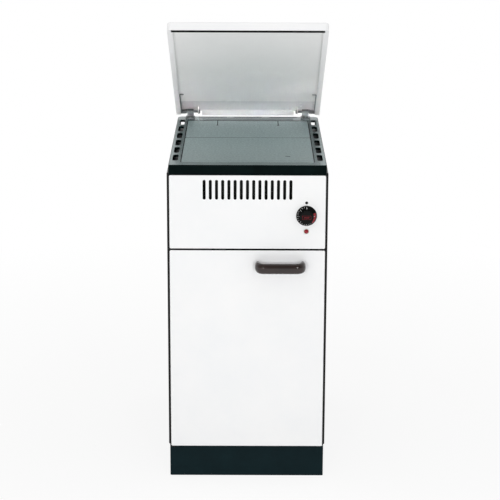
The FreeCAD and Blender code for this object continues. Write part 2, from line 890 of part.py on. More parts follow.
def air_slot_cutters():
    cuts = []
    strip_inner = opening_half_width + ledge_wall
    strip_outer = frame_half_width - frame_wall
    x = (strip_inner + strip_outer) / 2
    for side in (-1, 1):
        for i in range(air_slot_count):
            centre = V(side * x, front_y + air_slot_first + i * air_slot_pitch, hob_top)
            cuts.append(stadium(centre, Y, Z, air_slot_length, air_slot_width, 3 * frame_skin))
        outlet_low = V(side * x - air_slot_width / 2, -front_y - 2 * frame_wall, frame_bottom - past)
        outlet_high = V(side * x + air_slot_width / 2, -front_y + past, frame_bottom + air_outlet_height)
        cuts.append(block(outlet_low, outlet_high))
    for i in range(rear_slot_count):
        rear_x = (i - (rear_slot_count - 1) / 2) * rear_slot_pitch
        centre = V(rear_x, -front_y - rear_slot_setback, hob_top)
        cuts.append(stadium(centre, X, Z, rear_slot_length, rear_slot_width, 3 * frame_skin))
    return cuts


def plate_limits():
    half = opening_half_width - plate_side_gap
    front_low = V(-half, opening_front_y + plate_side_gap, ledge_top)
    front_high = V(half, front_low.y + front_plate_depth, ledge_top + plate_thickness)
    rear_low = V(-half, front_high.y + plate_side_gap, ledge_top)
    rear_high = V(half, opening_back_y - plate_side_gap, ledge_top + plate_thickness)
    return (front_low, front_high), (rear_low, rear_high)


def make_front_plate():
    low, high = plate_limits()[0]
    plate = eased(rounded_block(low, high, Z, plate_corner), Z, high.z, plate_edge)
    lift = V(high.x - lift_slot_side_inset, front_y + lift_slot_setback, high.z)
    return plate.cut(stadium(lift, X, Z, lift_slot_length, lift_slot_width, 4 * plate_thickness))


def make_rear_plate():
    low, high = plate_limits()[1]
    plate = eased(rounded_block(low, high, Z, plate_corner), Z, high.z, plate_edge)
    cuts = []
    for x in (-slit_offset, slit_offset):
        end = V(x, high.y - slit_length, low.z)
        side = V(slit_width / 2, 0, 0)
        cuts.append(block(end - side, V(x, high.y + past, high.z + past) + side))
        cuts.append(rod(end, Z, slit_hole_radius, plate_thickness))
    return drill(plate, cuts)


def make_hinge_lugs():
    half = lug_width / 2
    front = lid_axis_y - lug_ring_radius
    back = lid_axis_y + lug_stem_back
    start = V(lug_x - half, lid_axis_y, lid_axis_z)
    stem = block(V(lug_x - half, front, hob_top), V(lug_x + half, back, lid_axis_z))
    foot_low = V(lug_x - half - lug_foot_side, front - lug_foot_length, hob_top)
    foot_high = V(lug_x + half + lug_foot_side, back, hob_top + lug_foot_height)
    foot = eased(rounded_block(foot_low, foot_high, Z, lug_foot_corner), Z, foot_high.z, lug_foot_edge)
    screw_y = front - lug_foot_length / 2
    screw = rod(V(lug_x, screw_y, hob_top), Z, lug_screw_radius, lug_foot_height + lug_screw_head)
    slot_low = V(lug_x - lug_screw_radius, screw_y - lug_screw_slot / 2, foot_high.z + lug_screw_head / 2)
    slot_high = V(lug_x + lug_screw_radius, screw_y + lug_screw_slot / 2, foot_high.z + 2 * lug_screw_head)
    lug = rod(start, X, lug_ring_radius, lug_width).fuse([stem, foot, screw]).removeSplitter()
    bore = rod(start, X, lid_pin_radius + pin_clearance, lug_width)
    return Part.makeCompound(both_sides(drill(lug, [block(slot_low, slot_high), bore])))


def make_lid_shell():
    """A pressed lid with a returned rim, and a short rear skirt between its two hinges."""
    low = V(-lid_half_width, lid_front_y, lid_bottom)
    high = V(lid_half_width, lid_back_y, lid_top)
    wall = V(lid_sheet, lid_sheet, lid_sheet)
    outer = eased(rounded_block(low, high, Z, lid_corner), Z, lid_top, lid_edge)
    inner = rounded_block(low + wall, high - wall, Z, lid_corner - lid_sheet)
    shape = outer.cut(eased(inner, Z, lid_top - lid_sheet, lid_edge - lid_sheet))
    return_end = lid_axis_y - lid_return_end
    mouth_low = low + V(lid_return, lid_return, -past)
    mouth_high = V(lid_half_width - lid_return, return_end, lid_bottom + lid_sheet + past)
    rear_low = V(-lid_half_width + lid_sheet, return_end - lid_return_corner, lid_bottom - past)
    rear_high = V(lid_half_width - lid_sheet, lid_back_y + past, lid_bottom + lid_skirt_gap)
    cuts = [rounded_block(mouth_low, mouth_high, Z, lid_return_corner), block(rear_low, rear_high)]
    notch_low = V(lid_skirt_half_width, lid_back_y - lid_corner, lid_bottom - past)
    notch_high = V(lid_half_width + past, lid_back_y + past, lid_top - lid_edge)
    for cut in cuts + both_sides(block(notch_low, notch_high)):
        shape = shape.cut(cut)
    return shape


def pressed_field(corner, far, first, second, slope):
    """A shallow tapered field in an upright panel, between two depths and smaller at the second."""

    def outline(depth, shrink):
        low = corner + V(shrink, 0, shrink)
        high = far - V(shrink, 0, shrink)
        lower = [V(low.x, depth, low.z), V(high.x, depth, low.z)]
        upper = [V(high.x, depth, high.z), V(low.x, depth, high.z)]
        return Part.makePolygon(lower + upper + [lower[0]])

    return Part.makeLoft([outline(first, 0), outline(second, slope)], True, True)


def make_lid_liner():
    edge_x = lid_half_width - lid_return + lid_liner_seat
    low = V(-edge_x, lid_front_y + lid_return - lid_liner_seat, lid_bottom + lid_sheet)
    top = lid_liner_z + lid_liner_sheet
    high = V(edge_x, lid_liner_back_y, top)
    outer = eased(rounded_block(low, high, Z, lid_liner_corner), Z, top, lid_liner_bend)
    inner_low = low + V(lid_liner_sheet, lid_liner_sheet, -past)
    inner_high = V(edge_x - lid_liner_sheet, high.y + lid_liner_corner, lid_liner_z)
    inner = rounded_block(inner_low, inner_high, Z, lid_liner_corner - lid_liner_sheet)
    return outer.cut(eased(inner, Z, lid_liner_z, lid_liner_bend - lid_liner_sheet))


def make_lid_seal():
    half = lid_half_width - lid_corner
    low = V(-half, lid_front_y + lid_seal_setback, hob_top + lid_seal_air)
    high = V(half, low.y + lid_seal_width, lid_bottom)
    strip = block(low, high)
    lower = [e for e in strip.Edges if in_plane(e, Z, low.z)]
    return strip.makeFillet(lid_seal_edge, [e for e in lower if along(e, X)])


def make_hinge_brackets():
    top = lid_top - lid_sheet
    low = V(ear_inner_x, lid_liner_back_y - bracket_lap, top - bracket_sheet)
    high = V(ear_outer_x + ear_thickness, lid_axis_y - lug_ring_radius - bracket_lug_gap, top)
    shape = rounded_block(low, high, Z, bracket_corner)
    for x in (ear_inner_x, ear_outer_x):
        arm = block(V(x, high.y - ear_root, lid_axis_z - ear_drop), V(x + ear_thickness, lid_axis_y, top))
        heel = [e for e in arm.Edges if along(e, X) and e.BoundBox.ZMax < lid_axis_z]
        arm = arm.makeFillet(ear_corner, [e for e in heel if e.BoundBox.YMax < high.y])
        shape = shape.fuse([arm, rod(V(x, lid_axis_y, lid_axis_z), X, ear_drop, ear_thickness)])
    shape = shape.removeSplitter()
    span = ear_outer_x + ear_thickness - ear_inner_x
    bore = rod(V(ear_inner_x, lid_axis_y, lid_axis_z), X, lid_pin_radius, span)
    return Part.makeCompound(both_sides(shape.cut(bore)))


def make_hinge_pins():
    start = V(ear_inner_x, lid_axis_y, lid_axis_z)
    head_start = start - X * pin_head_length
    head = rod(head_start, X, lid_pin_radius + pin_head_wall, pin_head_length)
    head = eased(head, X, head_start.x, pin_head_edge)
    shank = rod(start, X, lid_pin_radius, ear_outer_x + ear_thickness + pin_end - ear_inner_x)
    return Part.makeCompound(both_sides(head.fuse(shank).removeSplitter()))


def tangent_arc(start, direction, end):
    """The arc from a start, leaving along a direction, to an end."""
    chord = end - start
    unit = V(chord).normalize()
    cosine = max(-1.0, min(1.0, direction.dot(unit)))
    side = direction - unit * cosine
    if side.Length < 1e-6:
        return [start, start + chord * 0.5, end]
    sagitta = chord.Length / 2 * math.tan(math.acos(cosine) / 2)
    return [start, start + chord * 0.5 + side.normalize() * sagitta, end]


def biarc(p0, t0, p1, t1):
    """Two arcs that leave one point and reach another along given directions and meet smoothly."""
    span = p1 - p0
    reach = span.dot(t0 + t1)
    curve = 2 * (1 - t0.dot(t1))
    size = (-reach + math.sqrt(reach ** 2 + curve * span.dot(span))) / curve
    joint = (p0 + p1 + (t0 - t1) * size) * 0.5
    first = tangent_arc(p0, t0, joint)
    second = tangent_arc(p1, t1 * -1, joint)
    return [Part.Arc(*first).toShape(), Part.Arc(second[2], second[1], second[0]).toShape()]


def spring_turns_path():
    """Close turns round the hinge pin, from a short straight end beside the lug."""
    rise = spring_pitch / (2 * math.pi)
    first_x = lug_x + lug_width / 2 + spring_lug_gap + spring_wire_radius

    def place(angle):
        around = V(0, math.sin(angle), math.cos(angle)) * spring_radius
        return V(first_x + rise * angle, lid_axis_y, lid_axis_z) + around

    def heading(angle):
        return V(rise, spring_radius * math.cos(angle), -spring_radius * math.sin(angle)).normalize()

    edges = [Part.makeLine(place(0) - heading(0) * 2 * spring_wire_radius, place(0))]
    turns = [math.pi / 2 * i for i in range(4 * spring_turns + 3)]
    for a, b in zip(turns, turns[1:]):
        edges += biarc(place(a), heading(a), place(b), heading(b))
    return edges, place(turns[-1]), heading(turns[-1])


def least_gap(wire, points):
    """The smallest clear distance between stretches of the wire that are not next to each other."""
    apart = int(points * math.pi * spring_radius / wire.Length)
    found = wire.discretize(points)
    best = min((a - b).Length for i, a in enumerate(found) for b in found[i + apart:])
    return best - 2 * spring_wire_radius


def make_lid_springs():
    edges, end, direction = spring_turns_path()
    leg_start = end + V(spring_lead_shift, -spring_lead, 0)
    leg_end = V(leg_start.x, lid_axis_y - spring_leg, end.z)
    turn = leg_end - V(spring_hook_bend, spring_hook_bend, 0)
    middle = turn + V(math.sqrt(0.5), 1 - math.sqrt(0.5), 0) * spring_hook_bend
    edges += biarc(end, direction, leg_start, V(0, -1, 0))
    edges.append(Part.makeLine(leg_start, leg_end))
    edges.append(Part.Arc(leg_end, middle, turn).toShape())
    edges.append(Part.makeLine(turn, turn - V(spring_hook, 0, 0)))
    wire = Part.Wire(edges)
    tail = edges[0].Vertexes[0].Point
    outward = edges[0].tangentAt(edges[0].FirstParameter)
    section = Part.Wire(Part.makeCircle(spring_wire_radius, tail, outward))
    print("spring gap to itself", round(least_gap(wire, spring_gap_samples), 2), "mm")
    return Part.makeCompound(both_sides(wire.makePipeShell([section], True, False)))


def make_flue_box():
    low = V(-flue_box_half_width, flue_box_front_y, flue_box_bottom)
    high = V(flue_box_half_width, flue_box_back_y, flue_box_top)
    wall = V(flue_box_wall, flue_box_wall, 0)
    inner_low = low + wall + V(0, 0, flue_box_wall)
    outer = rounded_block(low, high, Z, flue_box_corner)
    inner_high = high - wall + V(0, 0, past)
    box = outer.cut(rounded_block(inner_low, inner_high, Z, flue_box_corner - flue_box_wall))
    throat = rod(V(0, chamber_y, flue_box_bottom), Z, chamber_radius - chamber_hole_inset, flue_box_wall)
    rear_face = V(0, flue_box_back_y - flue_box_wall, flue_z)
    outlet = rod(rear_face, Y, collar_inner_radius - flue_stop, flue_box_wall)
    return drill(box, [throat, outlet])


def make_support_rails():
    rails = []
    for side in (-1, 1):
        y = chamber_y + side * (chamber_radius + ring_flange + rail_flange_gap)
        corner = V(-inner_half_width, y, flue_box_bottom)
        points = [
            corner,
            corner + V(0, side * rail_height, 0),
            corner + V(0, side * rail_height, -rail_sheet),
            corner + V(0, side * rail_sheet, -rail_sheet),
            corner + V(0, side * rail_sheet, -rail_height),
            corner + V(0, 0, -rail_height),
        ]
        rails.append(prism(points, X * (2 * inner_half_width)))
    return Part.makeCompound(rails)


def neck_limits():
    half = neck_width / 2
    rise = neck_height / 2
    return V(-half, neck_face_y, neck_z - rise), V(half, chamber_y, neck_z + rise)


def make_chamber():
    start = V(0, chamber_y, chamber_bottom)
    low, high = neck_limits()
    shape = rod(start, Z, chamber_radius, chamber_height).fuse(rounded_block(low, high, Y, neck_corner))
    for z in (chamber_bottom, chamber_bottom + chamber_height - ring_flange_thickness):
        shape = shape.fuse(rod(V(0, chamber_y, z), Z, chamber_radius + ring_flange, ring_flange_thickness))
    wall = V(chamber_wall, 0, chamber_wall)
    shape = shape.removeSplitter().cut(rod(start, Z, chamber_radius - chamber_wall, chamber_height))
    return shape.cut(rounded_block(low + wall - Y * past, high - wall, Y, neck_corner - chamber_wall))


def make_lining():
    outer = chamber_radius - chamber_wall
    start = V(0, chamber_y, chamber_bottom + lining_bottom_gap)
    height = chamber_height - lining_bottom_gap - lining_top_gap
    low, high = neck_limits()
    return ring(start, Z, outer, outer - lining_thickness, height).cut(block(low, high))


def make_inspection_cover():
    low, high = neck_limits()
    grow = V(cover_margin, 0, cover_margin)
    face = neck_face_y - cover_thickness
    front = face - bezel_depth
    cover_low = V(low.x, face, low.z) - grow
    cover = rounded_block(cover_low, V(high.x, neck_face_y, high.z) + grow, Y, cover_corner)
    cover = eased(cover, Y, face, cover_edge)
    bezel = eased(rod(V(0, front, neck_z), Y, sight_radius + bezel_wall, bezel_depth), Y, front, cover_edge)
    cover = cover.fuse(bezel).removeSplitter()
    return cover.cut(rod(V(0, front, neck_z), Y, sight_radius, bezel_depth + cover_thickness))


def make_sight_glass():
    return rod(V(0, neck_face_y - cover_thickness, neck_z), Y, sight_radius, sight_thickness)


def make_wing_nuts():
    nuts = []
    reach = neck_width / 2 + cover_margin - wing_nut_inset
    climb = neck_height / 2 + cover_margin - wing_nut_inset
    for rise in (-climb, climb):
        seat = V(reach, neck_face_y - cover_thickness, neck_z + rise)
        top_radius = wing_nut_radius - wing_nut_taper
        nut = Part.makeCone(wing_nut_radius, top_radius, wing_nut_height, seat, V(0, -1, 0))
        low = seat - V(wing_span / 2, wing_rise, wing_thickness / 2)
        wing = rounded_block(low, seat + V(wing_span / 2, -wing_root, wing_thickness / 2), Z, wing_corner)
        nuts += both_sides(nut.fuse(wing).removeSplitter())
    return Part.makeCompound(nuts)


def make_pot():
    start = V(0, chamber_y, pot_bottom)
    flange = V(0, chamber_y, chamber_bottom - ring_flange_thickness)
    shape = eased(rod(start, Z, pot_radius, pot_height), Z, pot_bottom, pot_bottom_bend)
    shape = shape.fuse(rod(flange, Z, chamber_radius + ring_flange, ring_flange_thickness)).removeSplitter()
    hollow = rod(start + Z * pot_wall, Z, pot_radius - pot_wall, pot_height)
    shape = shape.cut(eased(hollow, Z, pot_bottom + pot_wall, pot_bottom_bend - pot_wall))
    holes = [igniter_bore(igniter_radius)]
    for row in range(pot_hole_rows):
        for i in range(pot_hole_count):
            angle = 2 * math.pi * (i + row / 2) / pot_hole_count
            direction = V(math.cos(angle), math.sin(angle), 0)
            centre = V(0, chamber_y, pot_bottom + pot_hole_rise + row * pot_hole_row_pitch)
            inside = centre + direction * (pot_radius - 2 * pot_wall)
            holes.append(rod(inside, direction, pot_hole_radius, 3 * pot_wall))
    return drill(shape, holes)


def igniter_axis():
    angle = math.radians(igniter_angle)
    return V(math.cos(angle), math.sin(angle), 0)


def igniter_bore(radius):
    direction = igniter_axis()
    start = V(0, chamber_y, pot_bottom + igniter_rise) + direction * (pot_radius - igniter_inside)
    return rod(start, direction, radius, igniter_length)


def make_igniter():
    direction = igniter_axis()
    seat = V(0, chamber_y, pot_bottom + igniter_rise) + direction * (jacket_radius + igniter_hex_gap)
    nut = hex_nut(seat, direction, Z * igniter_hex_radius, igniter_hex_length)
    return igniter_bore(igniter_radius).fuse(nut).removeSplitter()


def make_burner_ring():
    outer = pot_radius - pot_wall
    start = V(0, chamber_y, pot_bottom + burner_ring_rise)
    return ring(start, Z, outer, outer - burner_ring_width, burner_ring_thickness)


def make_jacket():
    top = chamber_bottom - ring_flange_thickness
    start = V(0, chamber_y, top - jacket_height)
    shape = ring(start, Z, jacket_radius, jacket_radius - jacket_wall, jacket_height)
    cuts = [igniter_bore(igniter_radius + igniter_hole_gap)]
    for i in range(jacket_slot_count):
        angle = 2 * math.pi * (i + 0.5) / jacket_slot_count
        direction = V(math.cos(angle), math.sin(angle), 0)
        across = V(-direction.y, direction.x, 0)
        centre = V(0, chamber_y, top - jacket_slot_drop) + direction * jacket_radius
        cut = stadium(centre, across, direction, jacket_slot_length, jacket_slot_width, jacket_slot_width)
        cuts.append(cut)
    return drill(shape, cuts)


def make_flue_collar():
    face = carcass_back_y + panel_sheet
    length = face + collar_reach - flue_box_back_y
    outer = collar_inner_radius + collar_wall
    start = V(0, flue_box_back_y, flue_z)
    flange = rod(V(0, face, flue_z), Y, outer + collar_flange, collar_flange_thickness)
    shape = rod(start, Y, outer, length).fuse(flange).removeSplitter()
    shape = shape.cut(rod(start, Y, collar_inner_radius, length))
    holes = []
    for i in range(collar_hole_count):
        angle = 2 * math.pi * (i + 0.5) / collar_hole_count
        reach = outer + collar_flange / 2
        place = V(reach * math.cos(angle), face, flue_z + reach * math.sin(angle))
        holes.append(rod(place, Y, collar_hole_radius, collar_flange_thickness))
    return drill(shape, holes)


def make_gland():
    face = carcass_back_y + panel_sheet
    sleeve = gland_bore_radius + gland_sleeve_wall
    waist = gland_radius - gland_step
    end = face + gland_reach
    outline = [
        V(gland_bore_radius, face - gland_sleeve_length, 0),
        V(sleeve, face - gland_sleeve_length, 0),
        V(sleeve, face, 0),
        V(gland_radius, face, 0),
        V(gland_radius, face + gland_hex_length, 0),
        V(waist, face + gland_hex_length, 0),
        V(waist, end - gland_nose, 0),
        V(sleeve, end, 0),
        V(gland_bore_radius, end, 0),
    ]
    shape = turned(outline, Y)
    shape.translate(V(gland_x, 0, base_top + gland_rise))
    return shape


def make_tank():
    low = V(-tank_half_width, tank_front_y, tank_bottom)
    high = V(tank_half_width, tank_back_y, tank_bottom + tank_height)
    wall = V(tank_sheet, tank_sheet, tank_sheet)
    outer = eased(rounded_block(low, high, Z, tank_corner), Z, high.z, tank_top_edge)
    inner = rounded_block(low + wall, high - wall, Z, tank_corner - tank_sheet)
    tank = outer.cut(eased(inner, Z, high.z - tank_sheet, tank_top_edge - tank_sheet))
    neck = rod(V(neck_tube_x, tank_front_y, neck_tube_z), Y, neck_tube_radius - neck_tube_wall, tank_sheet)
    feed = rod(V(regulator_x, tank_front_y, oil_z), Y, pipe_radius - pipe_wall, tank_sheet)
    return drill(tank, [neck, feed])


def make_tank_stands():
    x = tank_half_width - stand_inset
    back = base_lip_back_y - base_sheet - stand_lip_gap
    low = V(x - stand_width, tank_front_y, base_top)
    high = V(x, back, tank_bottom)
    hollow_low = low + V(stand_sheet, -past, stand_sheet)
    hollow_high = high + V(-stand_sheet, past, -stand_sheet)
    stand = rounded_block(low, high, Y, stand_bend)
    hollow = rounded_block(hollow_low, hollow_high, Y, stand_bend - stand_sheet)
    return Part.makeCompound(both_sides(stand.cut(hollow)))


def make_filler_neck():
    points = [
        V(neck_tube_x, tank_front_y, neck_tube_z),
        V(neck_tube_x, neck_tube_y, neck_tube_z),
        V(neck_tube_x, neck_tube_y, neck_tube_top),
    ]
    outer = round_bar(points, neck_tube_bend, neck_tube_radius)
    return outer.cut(round_bar(points, neck_tube_bend, neck_tube_radius - neck_tube_wall))


def make_filler_cap():
    inner = neck_tube_radius + cap_clearance
    outer = inner + cap_wall
    seat = neck_tube_top + cap_clearance
    top = seat + cap_wall
    start = V(neck_tube_x, neck_tube_y, top - cap_height)
    shape = eased(rod(start, Z, outer, cap_height), Z, top, cap_edge)
    cuts = [rod(start, Z, inner, cap_height - cap_wall)]
    reach = outer + cap_groove_radius - cap_groove_depth
    for i in range(cap_groove_count):
        angle = 2 * math.pi * i / cap_groove_count
        place = start + V(reach * math.cos(angle), reach * math.sin(angle), -past)
        cuts.append(rod(place, Z, cap_groove_radius, cap_height))
    return drill(shape, cuts)


def make_regulator():
    half = regulator_width / 2
    lap = V(regulator_cover_lap, regulator_cover_lap, 0)
    low = V(regulator_x - half, regulator_front_y, regulator_bottom)
    high = V(regulator_x + half, regulator_back_y, regulator_bottom + regulator_height)
    top = high.z + regulator_cover_height
    body = rounded_block(low, high, Z, regulator_corner)
    cover_low = V(low.x, low.y, high.z) - lap
    cover = rounded_block(cover_low, V(high.x, high.y, top) + lap, Z, regulator_corner)
    cover = eased(cover, Z, top, regulator_cover_edge)
    knob = rod(V(regulator_x, (low.y + high.y) / 2, top), Z, regulator_knob_radius, regulator_knob_height)
    knob = eased(knob, Z, top + regulator_knob_height, regulator_cover_edge)
    inlet = pipe_nut_length + regulator_cover_lap
    boss = rod(V(regulator_x, high.y, oil_z), Y, pipe_nut_radius, inlet)
    return body.fuse([cover, knob, boss]).removeSplitter()


def make_regulator_bracket():
    bottom = regulator_bottom + bracket_bottom_inset
    top = regulator_bottom + regulator_height - bracket_top_inset
    low = V(-inner_half_width, regulator_front_y + bracket_end_inset, bottom)
    high = V(regulator_x - regulator_width / 2, regulator_back_y - bracket_end_inset, top)
    hollow_low = low + V(bracket_plate, -past, bracket_plate)
    hollow_high = high + V(-bracket_plate, past, -bracket_plate)
    return block(low, high).cut(block(hollow_low, hollow_high))


def make_feed_pipe():
    start = V(regulator_x, regulator_back_y + pipe_nut_length + regulator_cover_lap, oil_z)
    end = V(regulator_x, tank_front_y, oil_z)
    pipe = rod(start, Y, pipe_radius, end.y - start.y)
    nuts = [
        hex_nut(start, Y, X * pipe_nut_radius, pipe_nut_length),
        hex_nut(end - Y * pipe_nut_length, Y, X * pipe_nut_radius, pipe_nut_length),
    ]
    return pipe.fuse(nuts).removeSplitter()


def make_burner_pipe():
    low_z = pot_bottom - pipe_dip
    start = V(regulator_x, (regulator_front_y + regulator_back_y) / 2, regulator_bottom)
    end = V(0, chamber_y, pot_bottom)
    points = [start, V(start.x, start.y, low_z), V(end.x, end.y, low_z), end]
    pipe = round_bar(points, pipe_bend, pipe_radius)
    nuts = []
    for top in (start, end):
        nuts.append(hex_nut(top - Z * pipe_nut_length, Z, X * pipe_nut_radius, pipe_nut_length))
    return pipe.fuse(nuts).removeSplitter()


def handle_screw_places():
    half = (handle_length - handle_grip_thickness) / 2
    return [V(handle_x - half, front_y, handle_z), V(handle_x + half, front_y, handle_z)]


def make_door_skin():
    tray = front_tray(door_bottom, door_top, door_thickness)
    axis = V(door_axis_x, door_axis_y, 0)
    cuts = [
        rod(axis + Z * door_bottom, Z, door_bush_radius, front_corner),
        rod(axis + Z * (door_top - front_corner), Z, door_bush_radius, front_corner),
    ]
    for place in handle_screw_places():
        cuts.append(rod(place, Y, handle_screw_radius, front_sheet))
    return drill(tray, cuts)


def make_door_liner():
    back = front_y + door_thickness
    low = V(-front_half_width + front_sheet, back - door_liner_sheet, door_bottom + front_sheet)
    high = V(front_half_width - front_sheet, back, door_top - front_sheet)
    plate = rounded_block(low, high, Y, front_corner - front_sheet)
    inset = V(door_press_inset, 0, door_press_inset)
    sheet = V(door_liner_sheet, 0, door_liner_sheet)
    deep = back - door_liner_press
    press = pressed_field(low + inset, high - inset, back, deep - door_liner_sheet, door_press_slope)
    sink = pressed_field(low + inset + sheet, high - inset - sheet, back, deep, door_press_slope)
    return plate.fuse(press).cut(sink).removeSplitter()


def make_handle():
    """A bow handle: a deep oval grip swept round two bends, on legs that narrow to the door."""
    left, right = handle_screw_places()
    forward = V(0, handle_grip_thickness / 2 - handle_reach, 0)
    leg = V(0, -handle_foot_depth, 0)
    path = bent_path([left + leg, left + forward, right + forward, right + leg], handle_bend)

    def oval(centre, thickness, height):
        ellipse = Part.Ellipse(centre + Z * (height / 2), centre + X * (thickness / 2), centre)
        return Part.Wire(ellipse.toShape())

    shape = path.makePipeShell([oval(left + leg, handle_grip_thickness, handle_grip_height)], True, False)
    for foot in (left, right):
        narrow = oval(foot, handle_foot_width, handle_foot_height)
        full = oval(foot + leg, handle_grip_thickness, handle_grip_height)
        shape = shape.fuse(Part.makeLoft([narrow, full], True, True))
    shape = shape.removeSplitter()
    back = V(0, -1, 0)
    holes = [rod(foot, back, handle_screw_radius, handle_screw_length) for foot in (left, right)]
    return drill(shape, holes)


def make_handle_screws():
    screws = []
    inside = front_y + front_sheet
    for place in handle_screw_places():
        tip = place - Y * handle_screw_length
        shank = rod(tip, Y, handle_screw_radius, handle_screw_length + front_sheet)
        head = rod(place + Y * front_sheet, Y, 2 * handle_screw_radius, handle_screw_head)
        head = eased(head, Y, inside + handle_screw_head, handle_screw_edge)
        screws.append(shank.fuse(head).removeSplitter())
    return Part.makeCompound(screws)


def make_door_bushes():
    length = door_pin_reach + door_bush_end
    bushes = []
    bore = door_pin_reach + past
    for bottom, bore_bottom in ((door_bottom, door_bottom), (door_top - length, door_top - bore)):
        bush = rod(V(door_axis_x, door_axis_y, bottom), Z, door_bush_radius, length)
        hole = rod(V(door_axis_x, door_axis_y, bore_bottom), Z, door_bore_radius, bore)
        bushes.append(bush.cut(hole))
    return Part.makeCompound(bushes)


save("plinth", make_plinth())
save("levelling_feet", make_feet())
save("base_pan", make_base_pan())
save("left_side_panel", both_sides(make_side_panel())[0])
save("right_side_panel", both_sides(make_side_panel())[1])
save("back_panel", make_back_panel())
save("back_screws", make_back_screws())
save("front_rail", make_front_rail())
save("hinge_tabs", make_hinge_tabs())
save("door_pins", make_door_pins())
save("hinge_washer", make_hinge_washer())
save("door_catch", make_door_catch())
save("fascia", make_fascia())
save("heat_shield", make_shield())
save("thermostat", make_thermostat())
save("lamp_lens", make_lamp_lens())
save("lamp_holder", make_lamp_holder())
save("cooktop_frame", make_cooktop_frame())
save("front_plate", make_front_plate())
save("rear_plate", make_rear_plate())
save("hinge_lugs", make_hinge_lugs())
save("flue_box", make_flue_box())
save("support_rails", make_support_rails())
save("combustion_chamber", make_chamber())
save("chamber_lining", make_lining())
save("inspection_cover", make_inspection_cover())
save("sight_glass", make_sight_glass())
save("wing_nuts", make_wing_nuts())
save("burner_pot", make_pot())
save("burner_ring", make_burner_ring())
save("air_jacket", make_jacket())
save("igniter", make_igniter())
save("flue_collar", make_flue_collar())
save("mains_gland", make_gland())
save("oil_tank", make_tank())
save("tank_stands", make_tank_stands())
save("filler_neck", make_filler_neck())
save("filler_cap", make_filler_cap())
save("oil_regulator", make_regulator())
save("regulator_bracket", make_regulator_bracket())
save("feed_pipe", make_feed_pipe())
save("burner_pipe", make_burner_pipe())
save("control_dial", make_dial())
save("dial_spindle", make_spindle())
save("door_skin", make_door_skin())
save("door_liner", make_door_liner())
save("door_handle", make_handle())
save("handle_screws", make_handle_screws())
save("door_bushes", make_door_bushes())
save("door_strike", make_strike())
save("lid_shell", raise_lid(make_lid_shell()))
save("lid_liner", raise_lid(make_lid_liner()))
save("lid_seal", raise_lid(make_lid_seal()))
save("lid_brackets", raise_lid(make_hinge_brackets()))
save("lid_pins", raise_lid(make_hinge_pins()))
save("lid_springs", raise_lid(make_lid_springs()))
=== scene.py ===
import bmesh
import bpy
import json
import math
from mathutils import Matrix, Vector


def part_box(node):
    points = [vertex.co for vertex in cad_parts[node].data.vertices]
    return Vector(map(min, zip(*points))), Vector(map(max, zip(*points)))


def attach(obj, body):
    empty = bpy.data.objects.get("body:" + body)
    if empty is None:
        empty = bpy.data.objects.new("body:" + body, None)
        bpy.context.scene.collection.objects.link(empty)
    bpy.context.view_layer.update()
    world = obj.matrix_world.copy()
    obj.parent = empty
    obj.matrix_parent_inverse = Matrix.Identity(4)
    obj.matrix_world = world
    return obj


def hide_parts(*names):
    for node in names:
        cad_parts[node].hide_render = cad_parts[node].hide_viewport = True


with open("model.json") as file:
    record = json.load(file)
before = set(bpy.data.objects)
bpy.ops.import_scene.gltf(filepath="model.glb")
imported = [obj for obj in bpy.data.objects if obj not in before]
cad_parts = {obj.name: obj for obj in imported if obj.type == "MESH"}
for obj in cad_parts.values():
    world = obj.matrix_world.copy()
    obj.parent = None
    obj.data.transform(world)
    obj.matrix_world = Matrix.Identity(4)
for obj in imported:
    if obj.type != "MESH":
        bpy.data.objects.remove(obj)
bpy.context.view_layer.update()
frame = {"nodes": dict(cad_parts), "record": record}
cadNodes = frame["nodes"]
joints = {joint["name"]: joint for joint in frame["record"]["behaviour"]["joints"]}
mm = 0.001
print("frame loaded:", len(cadNodes), "solids")


def linear(hexColour):
    parts = [int(hexColour[i:i + 2], 16) / 255 for i in (1, 3, 5)]
    return tuple(c / 12.92 if c <= 0.04045 else ((c + 0.055) / 1.055) ** 2.4 for c in parts) + (1.0,)


def addNode(tree, kind, wires=None, **settings):
    node = tree.nodes.new(kind)
    for name, value in settings.items():
        setattr(node, name, value)
    for key, value in (wires or {}).items():
        if isinstance(value, bpy.types.NodeSocket):
            tree.links.new(value, node.inputs[key])
        else:
            node.inputs[key].default_value = value
    return node


# What all finishes share: how the tones drift, how sharp the specks are and how far the crystals differ.
coat = {"driftDetail": 4.0, "driftRoughness": 0.6, "driftFrom": 0.3, "driftTo": 0.7, "speckCore": 0.12,
        "speckEdge": 0.3, "speckShare": 0.8, "spangleDark": 0.86, "spanglePale": 1.08, "grainDetail": 2.0}


